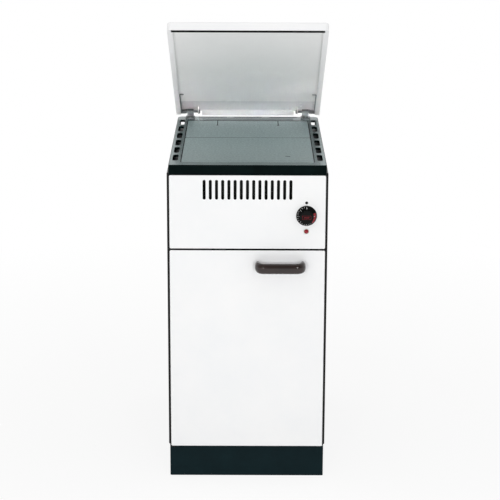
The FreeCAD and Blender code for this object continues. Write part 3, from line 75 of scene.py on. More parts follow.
# A finish: two close tones that drift over a patch, a roughness that drifts with them, and a fine relief.
# A look may add a face with tones of its own, specks, a spangle or a painted reflection along one axis.
# On a Mix node 0 is the share, 2 and 3 are the numbers mixed, 6 and 7 the colours.
def finish(name, look):
    material = bpy.data.materials.new(name)
    material.use_nodes = True
    tree = material.node_tree
    tree.nodes.clear()
    shader = addNode(tree, "ShaderNodeBsdfPrincipled", look.get("shader"))
    addNode(tree, "ShaderNodeOutputMaterial", {"Surface": shader.outputs["BSDF"]})
    coordinates = addNode(tree, "ShaderNodeTexCoord").outputs
    spot = coordinates["Object"]
    stretched = addNode(tree, "ShaderNodeMapping", {
        "Vector": spot, "Scale": look.get("stretch", (1, 1, 1))}).outputs[0]
    drift = addNode(tree, "ShaderNodeTexNoise", {
        "Vector": stretched, "Scale": 1 / (look["patchMm"] * mm),
        "Detail": coat["driftDetail"], "Roughness": coat["driftRoughness"]})
    spread = addNode(tree, "ShaderNodeMapRange", {
        "Value": drift.outputs[0], "From Min": coat["driftFrom"], "From Max": coat["driftTo"]}).outputs[0]
    colour = addNode(tree, "ShaderNodeMix", {
        0: spread, 6: linear(look["tones"][0]), 7: linear(look["tones"][1])}, data_type="RGBA").outputs[2]
    low, high = look["rough"]
    dull = addNode(tree, "ShaderNodeMapRange", {"Value": spread, "To Min": low, "To Max": high}).outputs[0]
    if "face" in look:  # the faces that look one way have tones, gloss and metal of their own
        face = look["face"]
        normal = addNode(tree, "ShaderNodeSeparateXYZ", {0: coordinates["Normal"]})
        facing = addNode(tree, "ShaderNodeMapRange", {
            "Value": normal.outputs[face["axis"]],
            "From Min": face["from"], "From Max": face["to"]}).outputs[0]
        faceTone = addNode(tree, "ShaderNodeMix", {
            0: spread, 6: linear(face["tones"][0]), 7: linear(face["tones"][1])}, data_type="RGBA").outputs[2]
        colour = addNode(tree, "ShaderNodeMix", {
            0: facing, 6: colour, 7: faceTone}, data_type="RGBA").outputs[2]
        dull = addNode(tree, "ShaderNodeMix", {
            0: facing, 2: dull, 3: face["rough"]}, data_type="FLOAT").outputs[0]
        if "metal" in face:
            metal = addNode(tree, "ShaderNodeMapRange", {"Value": facing, "To Max": face["metal"]})
            tree.links.new(metal.outputs[0], shader.inputs["Metallic"])
    if "speckMm" in look:  # small dots of a third tone, one to a cell
        cells = addNode(tree, "ShaderNodeTexVoronoi", {"Vector": spot, "Scale": 1 / (look["speckMm"] * mm)})
        dots = addNode(tree, "ShaderNodeMapRange", {
            "Value": cells.outputs["Distance"], "From Min": coat["speckCore"], "From Max": coat["speckEdge"],
            "To Min": coat["speckShare"], "To Max": 0.0})
        colour = addNode(tree, "ShaderNodeMix", {
            0: dots.outputs[0], 6: colour, 7: linear(look["speck"])}, data_type="RGBA").outputs[2]
    shades = []
    if "spangleMm" in look:  # flat crystals that differ a little in shade
        cells = addNode(tree, "ShaderNodeTexVoronoi", {"Vector": spot, "Scale": 1 / (look["spangleMm"] * mm)})
        shades.append(addNode(tree, "ShaderNodeMapRange", {
            "Value": cells.outputs["Color"], "To Min": coat["spangleDark"], "To Max": coat["spanglePale"]}))
    if "paintedReflection" in look:  # painted reflection: one end darker, the other paler
        paintedReflection = look["paintedReflection"]
        where = addNode(tree, "ShaderNodeSeparateXYZ", {0: spot})
        shades.append(addNode(tree, "ShaderNodeMapRange", {
            "Value": where.outputs[paintedReflection["axis"]], "From Min": paintedReflection["from"], "From Max": paintedReflection["to"],
            "To Min": paintedReflection["shades"][0], "To Max": paintedReflection["shades"][1]}))
    for shade in shades:
        colour = addNode(tree, "ShaderNodeMix", {
            0: 1.0, 6: colour, 7: shade.outputs[0]}, data_type="RGBA", blend_type="MULTIPLY").outputs[2]
    tree.links.new(colour, shader.inputs["Base Color"])
    tree.links.new(dull, shader.inputs["Roughness"])
    grainScale = 1 / (look["grainMm"] * mm)
    if look.get("grain") == "cells":
        grain = addNode(tree, "ShaderNodeTexVoronoi", {"Vector": stretched, "Scale": grainScale},
                        feature="SMOOTH_F1")
    else:
        grain = addNode(tree, "ShaderNodeTexNoise", {
            "Vector": stretched, "Scale": grainScale, "Detail": look.get("grainDetail", coat["grainDetail"])})
    relief = addNode(tree, "ShaderNodeBump", {
        "Height": grain.outputs[0], "Distance": look["reliefMm"] * mm, "Strength": 1.0})
    tree.links.new(relief.outputs[0], shader.inputs["Normal"])
    return material


# The hob plates get a painted reflection of the lid's pale underside: darker at the front, paler at the back.
hobFront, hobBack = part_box("front_plate")[0][1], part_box("rear_plate")[1][1]
looks = {
    # Vitreous enamel fired on pressed steel: a hard white glass skin with a faint ripple.
    "white_enamel": ("vitreous enamel, fired white", {
        "tones": ("#F1F2F3", "#F5F5F5"), "patchMm": 120, "rough": (0.16, 0.22), "grainMm": 5,
        "reliefMm": 0.018, "shader": {"IOR": 1.52, "Specular IOR Level": 0.4}}),
    # Front sheets: the white coat covers what faces forward, the black ground coat shows at the edges.
    "front_enamel": ("vitreous enamel, white over black ground coat", {
        "tones": ("#060708", "#0A0B0C"), "patchMm": 120, "rough": (0.24, 0.34), "grainMm": 5,
        "reliefMm": 0.018,
        "face": {"axis": 1, "from": -0.6, "to": -0.8, "tones": ("#F1F2F3", "#F5F5F5"), "rough": 0.19},
        "shader": {"IOR": 1.52, "Specular IOR Level": 0.4}}),
    # A thinner off-white coat of the same enamel, a little duller, with tiny grey specks.
    "grey_enamel": ("vitreous enamel, fired grey-white", {
        "tones": ("#F6F6F5", "#F9F9F8"), "patchMm": 90, "rough": (0.3, 0.4), "grainMm": 4,
        "reliefMm": 0.02, "speckMm": 3.5, "speck": "#F0F1F1",
        "shader": {"IOR": 1.52, "Specular IOR Level": 0.35}}),
    # Black ground-coat enamel: deep, glossy, with the ripple of one fired coat.
    "black_enamel": ("vitreous enamel, fired black", {
        "tones": ("#060708", "#0A0B0C"), "patchMm": 60, "rough": (0.27, 0.3), "grainMm": 4,
        "reliefMm": 0.02, "shader": {"IOR": 1.52, "Specular IOR Level": 0.22}}),
    # Stoved paint on the plinth: satin blue-black with a fine orange peel.
    "plinth_paint": ("stoved enamel paint, satin blue-black", {
        "tones": ("#081A1E", "#0D2125"), "patchMm": 70, "rough": (0.45, 0.58), "grainMm": 1.6,
        "reliefMm": 0.03, "shader": {"IOR": 1.5, "Specular IOR Level": 0.08}}),
    # Cast-iron plates, blackleaded: dark at every edge, ground bright on top with a fine even grain, and
    # paled towards the back by a painted reflection of the lid's pale underside.
    "hob_iron": ("cast iron, blackleaded, ground top", {
        "tones": ("#0E1718", "#162021"), "patchMm": 5, "rough": (0.45, 0.6), "grainMm": 2.0,
        "reliefMm": 0.02,
        "face": {"axis": 2, "from": 0.9, "to": 0.97, "tones": ("#8EA2A3", "#BDCDCD"), "rough": 0.28,
                 "metal": 0.75},
        # painted reflection of the lid's underside: darker at the front, paler at the back
        "paintedReflection": {"axis": 1, "from": hobFront, "to": hobBack, "shades": (0.8, 1.5)},
        "grainDetail": 3.0, "shader": {"IOR": 1.5, "Specular IOR Level": 0.2}}),
    # The hob frame: sand-cast iron under dark green-black enamel, its top ground bright with the plates.
    "frame_iron": ("cast iron, enamelled green-black, ground top", {
        "tones": ("#010A0A", "#041212"), "patchMm": 35, "rough": (0.42, 0.55), "grainMm": 3,
        "reliefMm": 0.03,
        "face": {"axis": 2, "from": 0.9, "to": 0.97, "tones": ("#6A7A7B", "#7A8A8A"), "rough": 0.2,
                 "metal": 0.7},
        "shader": {"IOR": 1.52, "Specular IOR Level": 0.03}}),
    # Zinc-plated sheet: grey metal with a faint spangle.
    "zinc_steel": ("steel, zinc plated", {
        "tones": ("#AEB3B6", "#C2C5C5"), "patchMm": 30, "rough": (0.34, 0.46), "grainMm": 1.5,
        "reliefMm": 0.01, "spangleMm": 7, "shader": {"Metallic": 0.9}}),
    # Bright-drawn spring wire, oiled.
    "spring_steel": ("spring steel, bright drawn", {
        "tones": ("#6C6F72", "#85888A"), "patchMm": 8, "rough": (0.26, 0.36), "grainMm": 0.8,
        "reliefMm": 0.01, "shader": {"Metallic": 0.9}}),
    # Hinge castings, phosphated grey and rubbed at the edges.
    "hinge_steel": ("steel, phosphated", {
        "tones": ("#5B6163", "#7C8283"), "patchMm": 10, "rough": (0.35, 0.5), "grainMm": 1.2,
        "reliefMm": 0.03, "shader": {"Metallic": 0.8}}),
    # Silicone heat paint: dead matt black, dusty where the heat has paled it.
    "heat_paint": ("silicone heat paint, matt black", {
        "tones": ("#0D0D0D", "#1E1D1B"), "patchMm": 40, "rough": (0.62, 0.8), "grainMm": 1.2,
        "reliefMm": 0.05, "shader": {"IOR": 1.45, "Specular IOR Level": 0.2}}),
    # Hammer paint on the tank: grey with shallow dimples.
    "tank_paint": ("hammer paint, silver grey", {
        "tones": ("#858B8E", "#9A9FA1"), "patchMm": 14, "rough": (0.3, 0.42), "grain": "cells",
        "grainMm": 5, "reliefMm": 0.12, "shader": {"Metallic": 0.35}}),
    # Pressed refractory board: pale, chalky, with scattered grains.
    "refractory": ("vermiculite board, pressed", {
        "tones": ("#CDBFA4", "#B8A88B"), "patchMm": 18, "rough": (0.85, 0.95), "grainMm": 2.5,
        "reliefMm": 0.4, "grainDetail": 5.0, "speckMm": 6, "speck": "#8F7B57",
        "shader": {"Specular IOR Level": 0.2}}),
    # Sight glass: clear heat-proof glass with a smoky tint.
    "sight_glass": ("borosilicate glass, smoked", {
        "tones": ("#C9C2B4", "#D8D4CA"), "patchMm": 20, "rough": (0.03, 0.1), "grainMm": 8,
        "reliefMm": 0.01, "shader": {"IOR": 1.47, "Transmission Weight": 0.9}}),
    # Copper tube, handled and lightly tarnished.
    "copper_pipe": ("copper tube, drawn", {
        "tones": ("#A9623F", "#C98258"), "patchMm": 16, "rough": (0.22, 0.42), "grainMm": 1.5,
        "reliefMm": 0.01, "shader": {"Metallic": 1.0}}),
    # Zinc die casting, tumbled: pale grey with a fine grain.
    "die_cast": ("zinc alloy, die cast", {
        "tones": ("#8C9092", "#A3A6A7"), "patchMm": 12, "rough": (0.45, 0.6), "grainMm": 0.9,
        "reliefMm": 0.05, "shader": {"Metallic": 0.75}}),
    # Phenolic moulding: dark brown, polished, with faint flow lines of lighter brown.
    "handle_brown": ("phenolic moulding, polished brown", {
        "tones": ("#1E130F", "#2C1D18"), "patchMm": 22, "rough": (0.1, 0.14), "grainMm": 6,
        "reliefMm": 0.008, "stretch": (0.35, 1, 1), "shader": {"IOR": 1.6, "Specular IOR Level": 0.45}}),
    # Black phenolic for the dial, semi-gloss from the mould.
    "black_plastic": ("phenolic moulding, black", {
        "tones": ("#050606", "#0A0C0C"), "patchMm": 10, "rough": (0.2, 0.28), "grainMm": 1.2,
        "reliefMm": 0.01, "shader": {"IOR": 1.6, "Specular IOR Level": 0.09}}),
    # Glass-filled polyamide: matt black with a spark-eroded texture.
    "moulded_black": ("polyamide, spark-eroded black", {
        "tones": ("#101112", "#181A1B"), "patchMm": 12, "rough": (0.5, 0.62), "grainMm": 0.9,
        "reliefMm": 0.06, "shader": {"IOR": 1.53, "Specular IOR Level": 0.35}}),
    # Natural nylon: milky and slightly see-through.
    "nylon": ("nylon, natural", {
        "tones": ("#DAD6CA", "#E4E1D8"), "patchMm": 8, "rough": (0.35, 0.45), "grainMm": 2,
        "reliefMm": 0.01, "shader": {"IOR": 1.53, "Subsurface Weight": 0.2}}),
    # Red acrylic lens: deep colour, wet gloss.
    "lamp_red": ("acrylic lens, moulded red", {
        "tones": ("#8C0F1E", "#AE1626"), "patchMm": 3, "rough": (0.06, 0.12), "grainMm": 1.6,
        "reliefMm": 0.05, "grain": "cells", "shader": {"IOR": 1.49, "Transmission Weight": 0.25}}),
    # Extruded EPDM seal: dull black rubber.
    "seal_rubber": ("EPDM rubber, extruded", {
        "tones": ("#0B0C0C", "#131414"), "patchMm": 15, "rough": (0.6, 0.75), "grainMm": 0.8,
        "reliefMm": 0.03, "shader": {"IOR": 1.5, "Specular IOR Level": 0.15}}),
}
finishes = {slot: finish(name, look) for slot, (name, look) in looks.items()}
print("finishes made:", len(finishes))

# Every solid takes the finish of its material slot.
for subpart in frame["record"]["subparts"]:
    solid = cadNodes[subpart["node"]]
    solid.data.materials.clear()
    solid.data.materials.append(finishes[subpart["material_slot"]])
print("solids dressed")


def addObject(name, data):
    added = bpy.data.objects.new(name, data)
    bpy.context.scene.collection.objects.link(added)
    return added


def place(name, mesh, body, slot):
    mesh.materials.clear()
    mesh.materials.append(finishes[slot])
    piece = addObject(name, mesh)
    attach(piece, body)
    return piece


def plainMesh(holder):
    bpy.context.view_layer.update()
    mesh = bpy.data.meshes.new_from_object(holder.evaluated_get(bpy.context.evaluated_depsgraph_get()))
    for modifier in list(holder.modifiers):
        holder.modifiers.remove(modifier)
    bpy.data.objects.remove(holder)
    return mesh


def meshFrom(shape, name):
    mesh = bpy.data.meshes.new(name)
    shape.to_mesh(mesh)
    shape.free()
    return mesh


def joined(name, meshes):
    shape = bmesh.new()
    for mesh in meshes:
        shape.from_mesh(mesh)
    return meshFrom(shape, name)


# A round form about Z from (radius, height) pairs in millimetres, closed where the radius is nought.
def turned(name, profileMm, steps=32):
    shape = bmesh.new()
    rings = []
    for radius, height in ((r * mm, h * mm) for r, h in profileMm):
        if radius == 0:
            rings.append([shape.verts.new((0, 0, height))])
            continue
        spots = [2 * math.pi * i / steps for i in range(steps)]
        rings.append([shape.verts.new((radius * math.cos(a), radius * math.sin(a), height)) for a in spots])
    for lower, upper in zip(rings, rings[1:]):
        for i in range(steps):
            j = (i + 1) % steps
            corners = [lower[i % len(lower)], lower[j % len(lower)],
                       upper[j % len(upper)], upper[i % len(upper)]]
            shape.faces.new(list(dict.fromkeys(corners)))
    bmesh.ops.recalc_face_normals(shape, faces=shape.faces)
    mesh = meshFrom(shape, name)
    mesh.shade_smooth()
    return mesh


# Node groups: each takes a part, or the line of a wire, and ends in real geometry with a finish.
def startGroup(name, inputs):
    group = bpy.data.node_groups.new(name, "GeometryNodeTree")
    group.interface.new_socket("Part", in_out="INPUT", socket_type="NodeSocketGeometry")
    for label, kind in inputs.items():
        group.interface.new_socket(label, in_out="INPUT", socket_type="NodeSocket" + kind)
    group.interface.new_socket("Finish", in_out="INPUT", socket_type="NodeSocketMaterial")
    group.interface.new_socket("Result", in_out="OUTPUT", socket_type="NodeSocketGeometry")
    return group, addNode(group, "NodeGroupInput").outputs


def endGroup(group, given, geometry):
    real = addNode(group, "GeometryNodeRealizeInstances", {0: geometry})
    dressed = addNode(group, "GeometryNodeSetMaterial", {
        "Geometry": real.outputs[0], "Material": given["Finish"]})
    addNode(group, "NodeGroupOutput", {0: dressed.outputs[0]})
    return group


# Parts at even steps round a circle, each with its X axis outwards and tipped down by the tilt.
def ringGroup():
    group, given = startGroup("partsInRing", {
        "Count": "Int", "First Angle": "Float", "Step": "Float", "Radius": "Float", "Height": "Float",
        "Tilt": "Float"})
    number = addNode(group, "GeometryNodeInputIndex").outputs[0]
    angle = addNode(group, "ShaderNodeMath", {0: number, 1: given["Step"], 2: given["First Angle"]},
                    operation="MULTIPLY_ADD").outputs[0]
    across = addNode(group, "ShaderNodeMath", {0: angle}, operation="COSINE").outputs[0]
    along = addNode(group, "ShaderNodeMath", {0: angle}, operation="SINE").outputs[0]
    around = addNode(group, "ShaderNodeCombineXYZ", {0: across, 1: along}).outputs[0]
    outward = addNode(group, "ShaderNodeVectorMath", {0: around, "Scale": given["Radius"]}, operation="SCALE")
    lift = addNode(group, "ShaderNodeCombineXYZ", {2: given["Height"]}).outputs[0]
    spot = addNode(group, "ShaderNodeVectorMath", {0: outward.outputs[0], 1: lift}, operation="ADD")
    points = addNode(group, "GeometryNodePoints", {"Count": given["Count"], "Position": spot.outputs[0]})
    turn = addNode(group, "ShaderNodeCombineXYZ", {1: given["Tilt"], 2: angle}).outputs[0]
    copies = addNode(group, "GeometryNodeInstanceOnPoints", {
        "Points": points.outputs[0], "Instance": given["Part"], "Rotation": turn})
    return endGroup(group, given, copies.outputs[0])


# Parts in rows and columns about the origin.
def gridGroup():
    group, given = startGroup("partsInRows", {
        "Columns": "Int", "Rows": "Int", "Width": "Float", "Height": "Float"})
    grid = addNode(group, "GeometryNodeMeshGrid", {
        "Size X": given["Width"], "Size Y": given["Height"],
        "Vertices X": given["Columns"], "Vertices Y": given["Rows"]})
    copies = addNode(group, "GeometryNodeInstanceOnPoints", {
        "Points": grid.outputs[0], "Instance": given["Part"]})
    return endGroup(group, given, copies.outputs[0])


# A round wire along a line.
def wireGroup():
    group, given = startGroup("roundWire", {"Radius": "Float", "Sides": "Int"})
    circle = addNode(group, "GeometryNodeCurvePrimitiveCircle", {
        "Resolution": given["Sides"], "Radius": given["Radius"]})
    drawn = addNode(group, "GeometryNodeCurveToMesh", {
        "Curve": given["Part"], "Profile Curve": circle.outputs[0], "Fill Caps": True})
    smooth = addNode(group, "GeometryNodeSetShadeSmooth", {"Geometry": drawn.outputs[0]})
    return endGroup(group, given, smooth.outputs[0])


partsInRing = ringGroup()
partsInRows = gridGroup()
roundWire = wireGroup()


def grow(data, group, values, slot):
    holder = addObject("holder", data)
    modifier = holder.modifiers.new("grow", "NODES")
    modifier.node_group = group
    settings = dict(values, Finish=finishes[slot])
    for socket in group.interface.items_tree:
        if socket.in_out == "INPUT" and socket.name in settings:
            modifier[socket.identifier] = settings[socket.name]
    return plainMesh(holder)


def wireLine(name, paths, closed=False):
    curve = bpy.data.curves.new(name, "CURVE")
    curve.dimensions = "3D"
    for path in paths:
        spline = curve.splines.new("POLY")
        spline.points.add(len(path) - 1)
        for point, spot in zip(spline.points, path):
            point.co = (*spot, 1)
        spline.use_cyclic_u = closed
    return curve


facingFront = Matrix.Rotation(math.radians(90), 4, "X")
facingBack = Matrix.Rotation(math.radians(180), 4, "Z") @ facingFront
facingDown = Matrix.Rotation(math.radians(180), 4, "X")
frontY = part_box("fascia")[0][1]
# Pieces on the lid are drawn with it closed, and lidOpen turns them to the photographed place.
lidAxis = Vector(joints["lid_hinge"]["pos_m"])
lidTurn = Matrix.Rotation(math.radians(joints["lid_hinge"]["range_deg"][0]), 4, "X")
lidOpen = Matrix.Translation(lidAxis) @ lidTurn @ Matrix.Translation(-lidAxis)
print("node groups built")

# Lid springs: close turns round each hinge pin, a long leg under the lid and a hooked end.
lidSpring = {"firstX": 171 * mm, "coilRadius": 5 * mm, "wireRadius": 1.5 * mm, "wireSides": 10,
             "pitch": 3.5 * mm, "turns": 4.5, "pointsPerTurn": 28, "lead": 26 * mm, "leadShift": -2.2 * mm,
             "leg": 140 * mm, "hookBend": 3.3 * mm, "hook": 7 * mm, "bendSteps": 8}


def springPath(side):
    s = lidSpring
    count = int(s["turns"] * s["pointsPerTurn"])
    steps = s["bendSteps"]
    points = [(s["firstX"], -2 * s["wireRadius"], s["coilRadius"])]
    for i in range(count + 1):
        angle = 2 * math.pi * s["turns"] * i / count
        x = s["firstX"] + s["pitch"] * angle / (2 * math.pi)
        points.append((x, math.sin(angle) * s["coilRadius"], math.cos(angle) * s["coilRadius"]))
    x, y, z = points[-1]
    for i in range(1, steps + 1):
        share = i / steps
        ease = share * share * (3 - 2 * share)
        points.append((x + s["leadShift"] * ease, y - s["lead"] * share, z))
    x = points[-1][0]
    for i in range(steps + 1):
        angle = math.pi / 2 * i / steps
        bent = s["hookBend"] * (1 - math.cos(angle))
        points.append((x - bent, -s["leg"] - s["hookBend"] * math.sin(angle), z))
    points.append((points[-1][0] - s["hook"], points[-1][1], z))
    return [lidAxis + Vector((side * p[0], p[1], p[2])) for p in points]


springLine = wireLine("springLine", [springPath(side) for side in (-1, 1)])
springMesh = grow(springLine, roundWire, {
    "Radius": lidSpring["wireRadius"], "Sides": lidSpring["wireSides"]}, "spring_steel")
springMesh.transform(lidOpen)
lidSprings = place("lidSprings", springMesh, "lid", "spring_steel")
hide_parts("lid_springs")
print("lid springs wound")

# Rivets that hold each hinge plate to the lid; across, back and up give the middle of a plate.
rivet = {"headMm": ((0, 0), (4.2, 0), (3.948, 0.72), (2.94, 1.44), (0, 1.8)), "sides": 16,
         "columns": 2, "rows": 3, "columnSpan": 36 * mm, "rowSpan": 52 * mm,
         "across": 165 * mm, "back": 244 * mm, "up": 847.5 * mm}
rivetHead = turned("rivetHead", rivet["headMm"], rivet["sides"])
rivetRows = []
for side in (-1, 1):
    rows = grow(rivetHead.copy(), partsInRows, {
        "Columns": rivet["columns"], "Rows": rivet["rows"],
        "Width": rivet["columnSpan"], "Height": rivet["rowSpan"]}, "white_enamel")
    plateMiddle = Matrix.Translation((side * rivet["across"], rivet["back"], rivet["up"]))
    rows.transform(lidOpen @ plateMiddle @ facingDown)
    rivetRows.append(rows)
place("hingeRivets", joined("hingeRivets", rivetRows), "lid", "white_enamel")
print("hinge rivets set")

# Dial: ticks and numbers filled white on the sloping skirt, a red arc at the hot end, a red bar on the grip.
dial = {"skirtInner": 17.5 * mm, "skirtOuter": 23.5 * mm, "skirtTop": 8 * mm, "skirtDrop": 3 * mm,
        "gripTop": 21 * mm, "topAngle": 90, "inkHeight": 0.25 * mm, "inkBevel": 0.4, "inkBevelSteps": 2,
        "tickRadius": 22.2 * mm, "tickLength": 2.2 * mm, "tickWidth": 0.8 * mm, "tickCount": 15,
        "tickStep": 15, "numberRadius": 19.4 * mm, "numberSize": 4.2 * mm, "numberStep": 45,
        "numberCount": 7, "numberSmooth": 3, "arcStart": 220, "arcEnd": 292, "arcInner": 17.8 * mm,
        "arcOuter": 23.4 * mm, "arcLift": 0.15 * mm, "arcSteps": 30, "panelLength": 22 * mm,
        "panelHeight": 9 * mm, "panelLine": 0.5 * mm, "barLength": 13 * mm, "barHeight": 1.4 * mm}
dialCentre = Vector(joints["dial_turn"]["pos_m"])
dialCentre.y = frontY
skirtTilt = math.atan2(dial["skirtDrop"], dial["skirtOuter"] - dial["skirtInner"])
onDial = Matrix.Translation(dialCentre) @ facingFront


def skirtHeight(radius):
    return dial["skirtTop"] - (radius - dial["skirtInner"]) * math.tan(skirtTilt)


def inkBar(name, length, width):
    ink = dial["inkHeight"]
    shape = bmesh.new()
    bmesh.ops.create_cube(shape, size=1.0, matrix=Matrix.Diagonal((length, width, 2 * ink, 1)))
    bmesh.ops.bevel(shape, geom=shape.edges[:], offset=ink * dial["inkBevel"],
                    segments=dial["inkBevelSteps"], affect="EDGES")
    return meshFrom(shape, name)


ticks = grow(inkBar("tick", dial["tickLength"], dial["tickWidth"]), partsInRing, {
    "Count": dial["tickCount"], "First Angle": math.radians(dial["topAngle"]),
    "Step": math.radians(dial["tickStep"]), "Radius": dial["tickRadius"],
    "Height": skirtHeight(dial["tickRadius"]), "Tilt": skirtTilt}, "white_enamel")
marks = [ticks]
onSkirt = (Matrix.Translation((dial["numberRadius"], 0, skirtHeight(dial["numberRadius"])))
           @ Matrix.Rotation(skirtTilt, 4, "Y") @ Matrix.Rotation(math.radians(-90), 4, "Z"))
for i in range(dial["numberCount"]):
    text = bpy.data.curves.new("number", "FONT")
    text.body = str(i)
    text.size = dial["numberSize"]
    text.extrude = dial["inkHeight"]
    text.resolution_u = dial["numberSmooth"]
    text.align_x = "CENTER"
    text.align_y = "CENTER"
    number = plainMesh(addObject("number", text))
    angle = math.radians(dial["topAngle"] + dial["numberStep"] * i)
    number.transform(Matrix.Rotation(angle, 4, "Z") @ onSkirt)
    marks.append(number)
dialMarks = joined("dialMarks", marks)
dialMarks.transform(onDial)
place("dialMarks", dialMarks, "dial", "white_enamel")


# A strip of the skirt's cone, about as thick as the ink.
def skirtArc(name):
    shape = bmesh.new()
    sections = []
    inner, outer, lift, steps = dial["arcInner"], dial["arcOuter"], dial["arcLift"], dial["arcSteps"]
    for i in range(steps + 1):
        turn = dial["arcStart"] + (dial["arcEnd"] - dial["arcStart"]) * i / steps
        angle = math.radians(dial["topAngle"] + turn)
        corners = []
        for radius, rise in ((inner, -lift), (outer, -lift), (outer, lift), (inner, lift)):
            spot = (radius * math.cos(angle), radius * math.sin(angle), skirtHeight(radius) + rise)
            corners.append(shape.verts.new(spot))
        sections.append(corners)
    for first, second in zip(sections, sections[1:]):
        for i in range(4):
            shape.faces.new((first[i], first[(i + 1) % 4], second[(i + 1) % 4], second[i]))
    shape.faces.new(sections[0])
    shape.faces.new(sections[-1])
    bmesh.ops.recalc_face_normals(shape, faces=shape.faces)
    return meshFrom(shape, name)


# A red outline on the grip with a short bar inside it.
gripInk = [inkBar("gripBar", dial["barLength"], dial["barHeight"])]
for side in (-1, 1):
    across = inkBar("across", dial["panelLength"], dial["panelLine"])
    across.transform(Matrix.Translation((0, side * dial["panelHeight"] / 2, 0)))
    upright = inkBar("upright", dial["panelLine"], dial["panelHeight"] - dial["panelLine"])
    upright.transform(Matrix.Translation((side * (dial["panelLength"] - dial["panelLine"]) / 2, 0, 0)))
    gripInk += [across, upright]
gripMarks = joined("gripMarks", gripInk)
gripMarks.transform(Matrix.Translation((0, 0, dial["gripTop"])))
redMarks = joined("dialRed", [skirtArc("hotArc"), gripMarks])
redMarks.transform(onDial)
place("dialRed", redMarks, "dial", "lamp_red")
print("dial marked")

# The black index dot above the dial and the milky ring round the lamp below it.
fasciaTrim = {"dotMm": ((0, -0.3), (3.6, -0.3), (3.6, 0.3), (2.88, 0.54), (0, 0.6)), "dotAbove": 32.5 * mm,
              "ringMm": ((5.6, 0), (7.3, 0), (7.3, 0.44), (6.9, 0.935), (6.45, 1.1), (5.9, 0.88), (5.6, 0.33),
                         (5.6, 0)), "lampBelow": 40.5 * mm}
dot = turned("indexDot", fasciaTrim["dotMm"])
dot.transform(Matrix.Translation(dialCentre + Vector((0, 0, fasciaTrim["dotAbove"]))) @ facingFront)
place("indexDot", dot, "cabinet", "black_enamel")
lampRing = turned("lampRing", fasciaTrim["ringMm"])
lampRing.transform(Matrix.Translation(dialCentre - Vector((0, 0, fasciaTrim["lampBelow"]))) @ facingFront)
place("lampRing", lampRing, "cabinet", "nylon")
print("fascia trimmed")

# Louvre hoods over the slots of the back panel: each is open below and fades into the sheet above.
louvre = {"length": 128 * mm, "height": 12 * mm, "reach": 6 * mm, "sheet": 1.2 * mm, "lip": 3.5 * mm,
          "steps": 24, "arcSteps": 6, "endPower": 4, "weld": 0.01 * mm, "columns": 2, "rows": 9,
          "columnSpan": 160 * mm, "rowPitch": 18 * mm, "firstRow": 213.5 * mm}


def hoodMesh():
    shape = bmesh.new()
    sections = []
    top = louvre["arcSteps"]
    inside = top + 1  # the inner face's points follow the outer face's
    for i in range(louvre["steps"] + 1):
        share = 2 * i / louvre["steps"] - 1
        swell = max(0.0, 1 - abs(share) ** louvre["endPower"]) ** 0.5
        ring = []
        for depth in (0, louvre["sheet"]):
            for j in range(top + 1):
                angle = math.pi / 2 * j / top
                reach = max(0.0, louvre["reach"] * swell - depth) * math.cos(angle)
                rise = max(0.0, louvre["height"] * swell - depth) * math.sin(angle)
                ring.append(shape.verts.new((share * louvre["length"] / 2, rise - louvre["lip"], reach)))
        sections.append(ring)
    for first, second in zip(sections, sections[1:]):
        for j in range(top):
            k = j + inside
            shape.faces.new((first[j], second[j], second[j + 1], first[j + 1]))
            shape.faces.new((first[k], first[k + 1], second[k + 1], second[k]))
        shape.faces.new((first[0], first[inside], second[inside], second[0]))
        shape.faces.new((first[top], second[top], second[inside + top], first[inside + top]))
    bmesh.ops.remove_doubles(shape, verts=shape.verts, dist=louvre["weld"])
    bmesh.ops.dissolve_degenerate(shape, edges=shape.edges, dist=louvre["weld"])
    mesh = meshFrom(shape, "hood")
    mesh.shade_smooth()
    return mesh


rowSpan = louvre["rowPitch"] * (louvre["rows"] - 1)
hoods = grow(hoodMesh(), partsInRows, {
    "Columns": louvre["columns"], "Rows": louvre["rows"], "Width": louvre["columnSpan"],
    "Height": rowSpan}, "zinc_steel")
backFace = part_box("back_panel")[1][1]
hoods.transform(Matrix.Translation((0, backFace, louvre["firstRow"] + rowSpan / 2)) @ facingBack)
place("louvreHoods", hoods, "cabinet", "zinc_steel")
print("louvres hooded")

# Screws of the flue collar: hexagon heads on washers.
collarScrew = {"headMm": ((0, 1), (4.6, 1), (4.6, 3.06), (3.956, 3.6), (0, 3.6)), "headSides": 6,
               "washerMm": ((0, 0), (5.6, 0), (5.6, 0.7), (5.152, 1), (0, 1)), "washerSides": 20,
               "count": 4, "firstAngle": 45, "step": 90, "ringRadius": 69.5 * mm, "face": 289.2 * mm}
head = turned("hexHead", collarScrew["headMm"], collarScrew["headSides"])
washer = turned("washer", collarScrew["washerMm"], collarScrew["washerSides"])
head.shade_flat()
washer.shade_flat()
collarScrews = grow(joined("collarScrew", [head, washer]), partsInRing, {
    "Count": collarScrew["count"], "First Angle": math.radians(collarScrew["firstAngle"]),
    "Step": math.radians(collarScrew["step"]), "Radius": collarScrew["ringRadius"]}, "zinc_steel")
collarLow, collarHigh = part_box("flue_collar")
flueHeight = (collarLow[2] + collarHigh[2]) / 2
collarScrews.transform(Matrix.Translation((0, collarScrew["face"], flueHeight)) @ facingBack)
place("collarScrews", collarScrews, "cabinet", "zinc_steel")
print("collar screwed on")

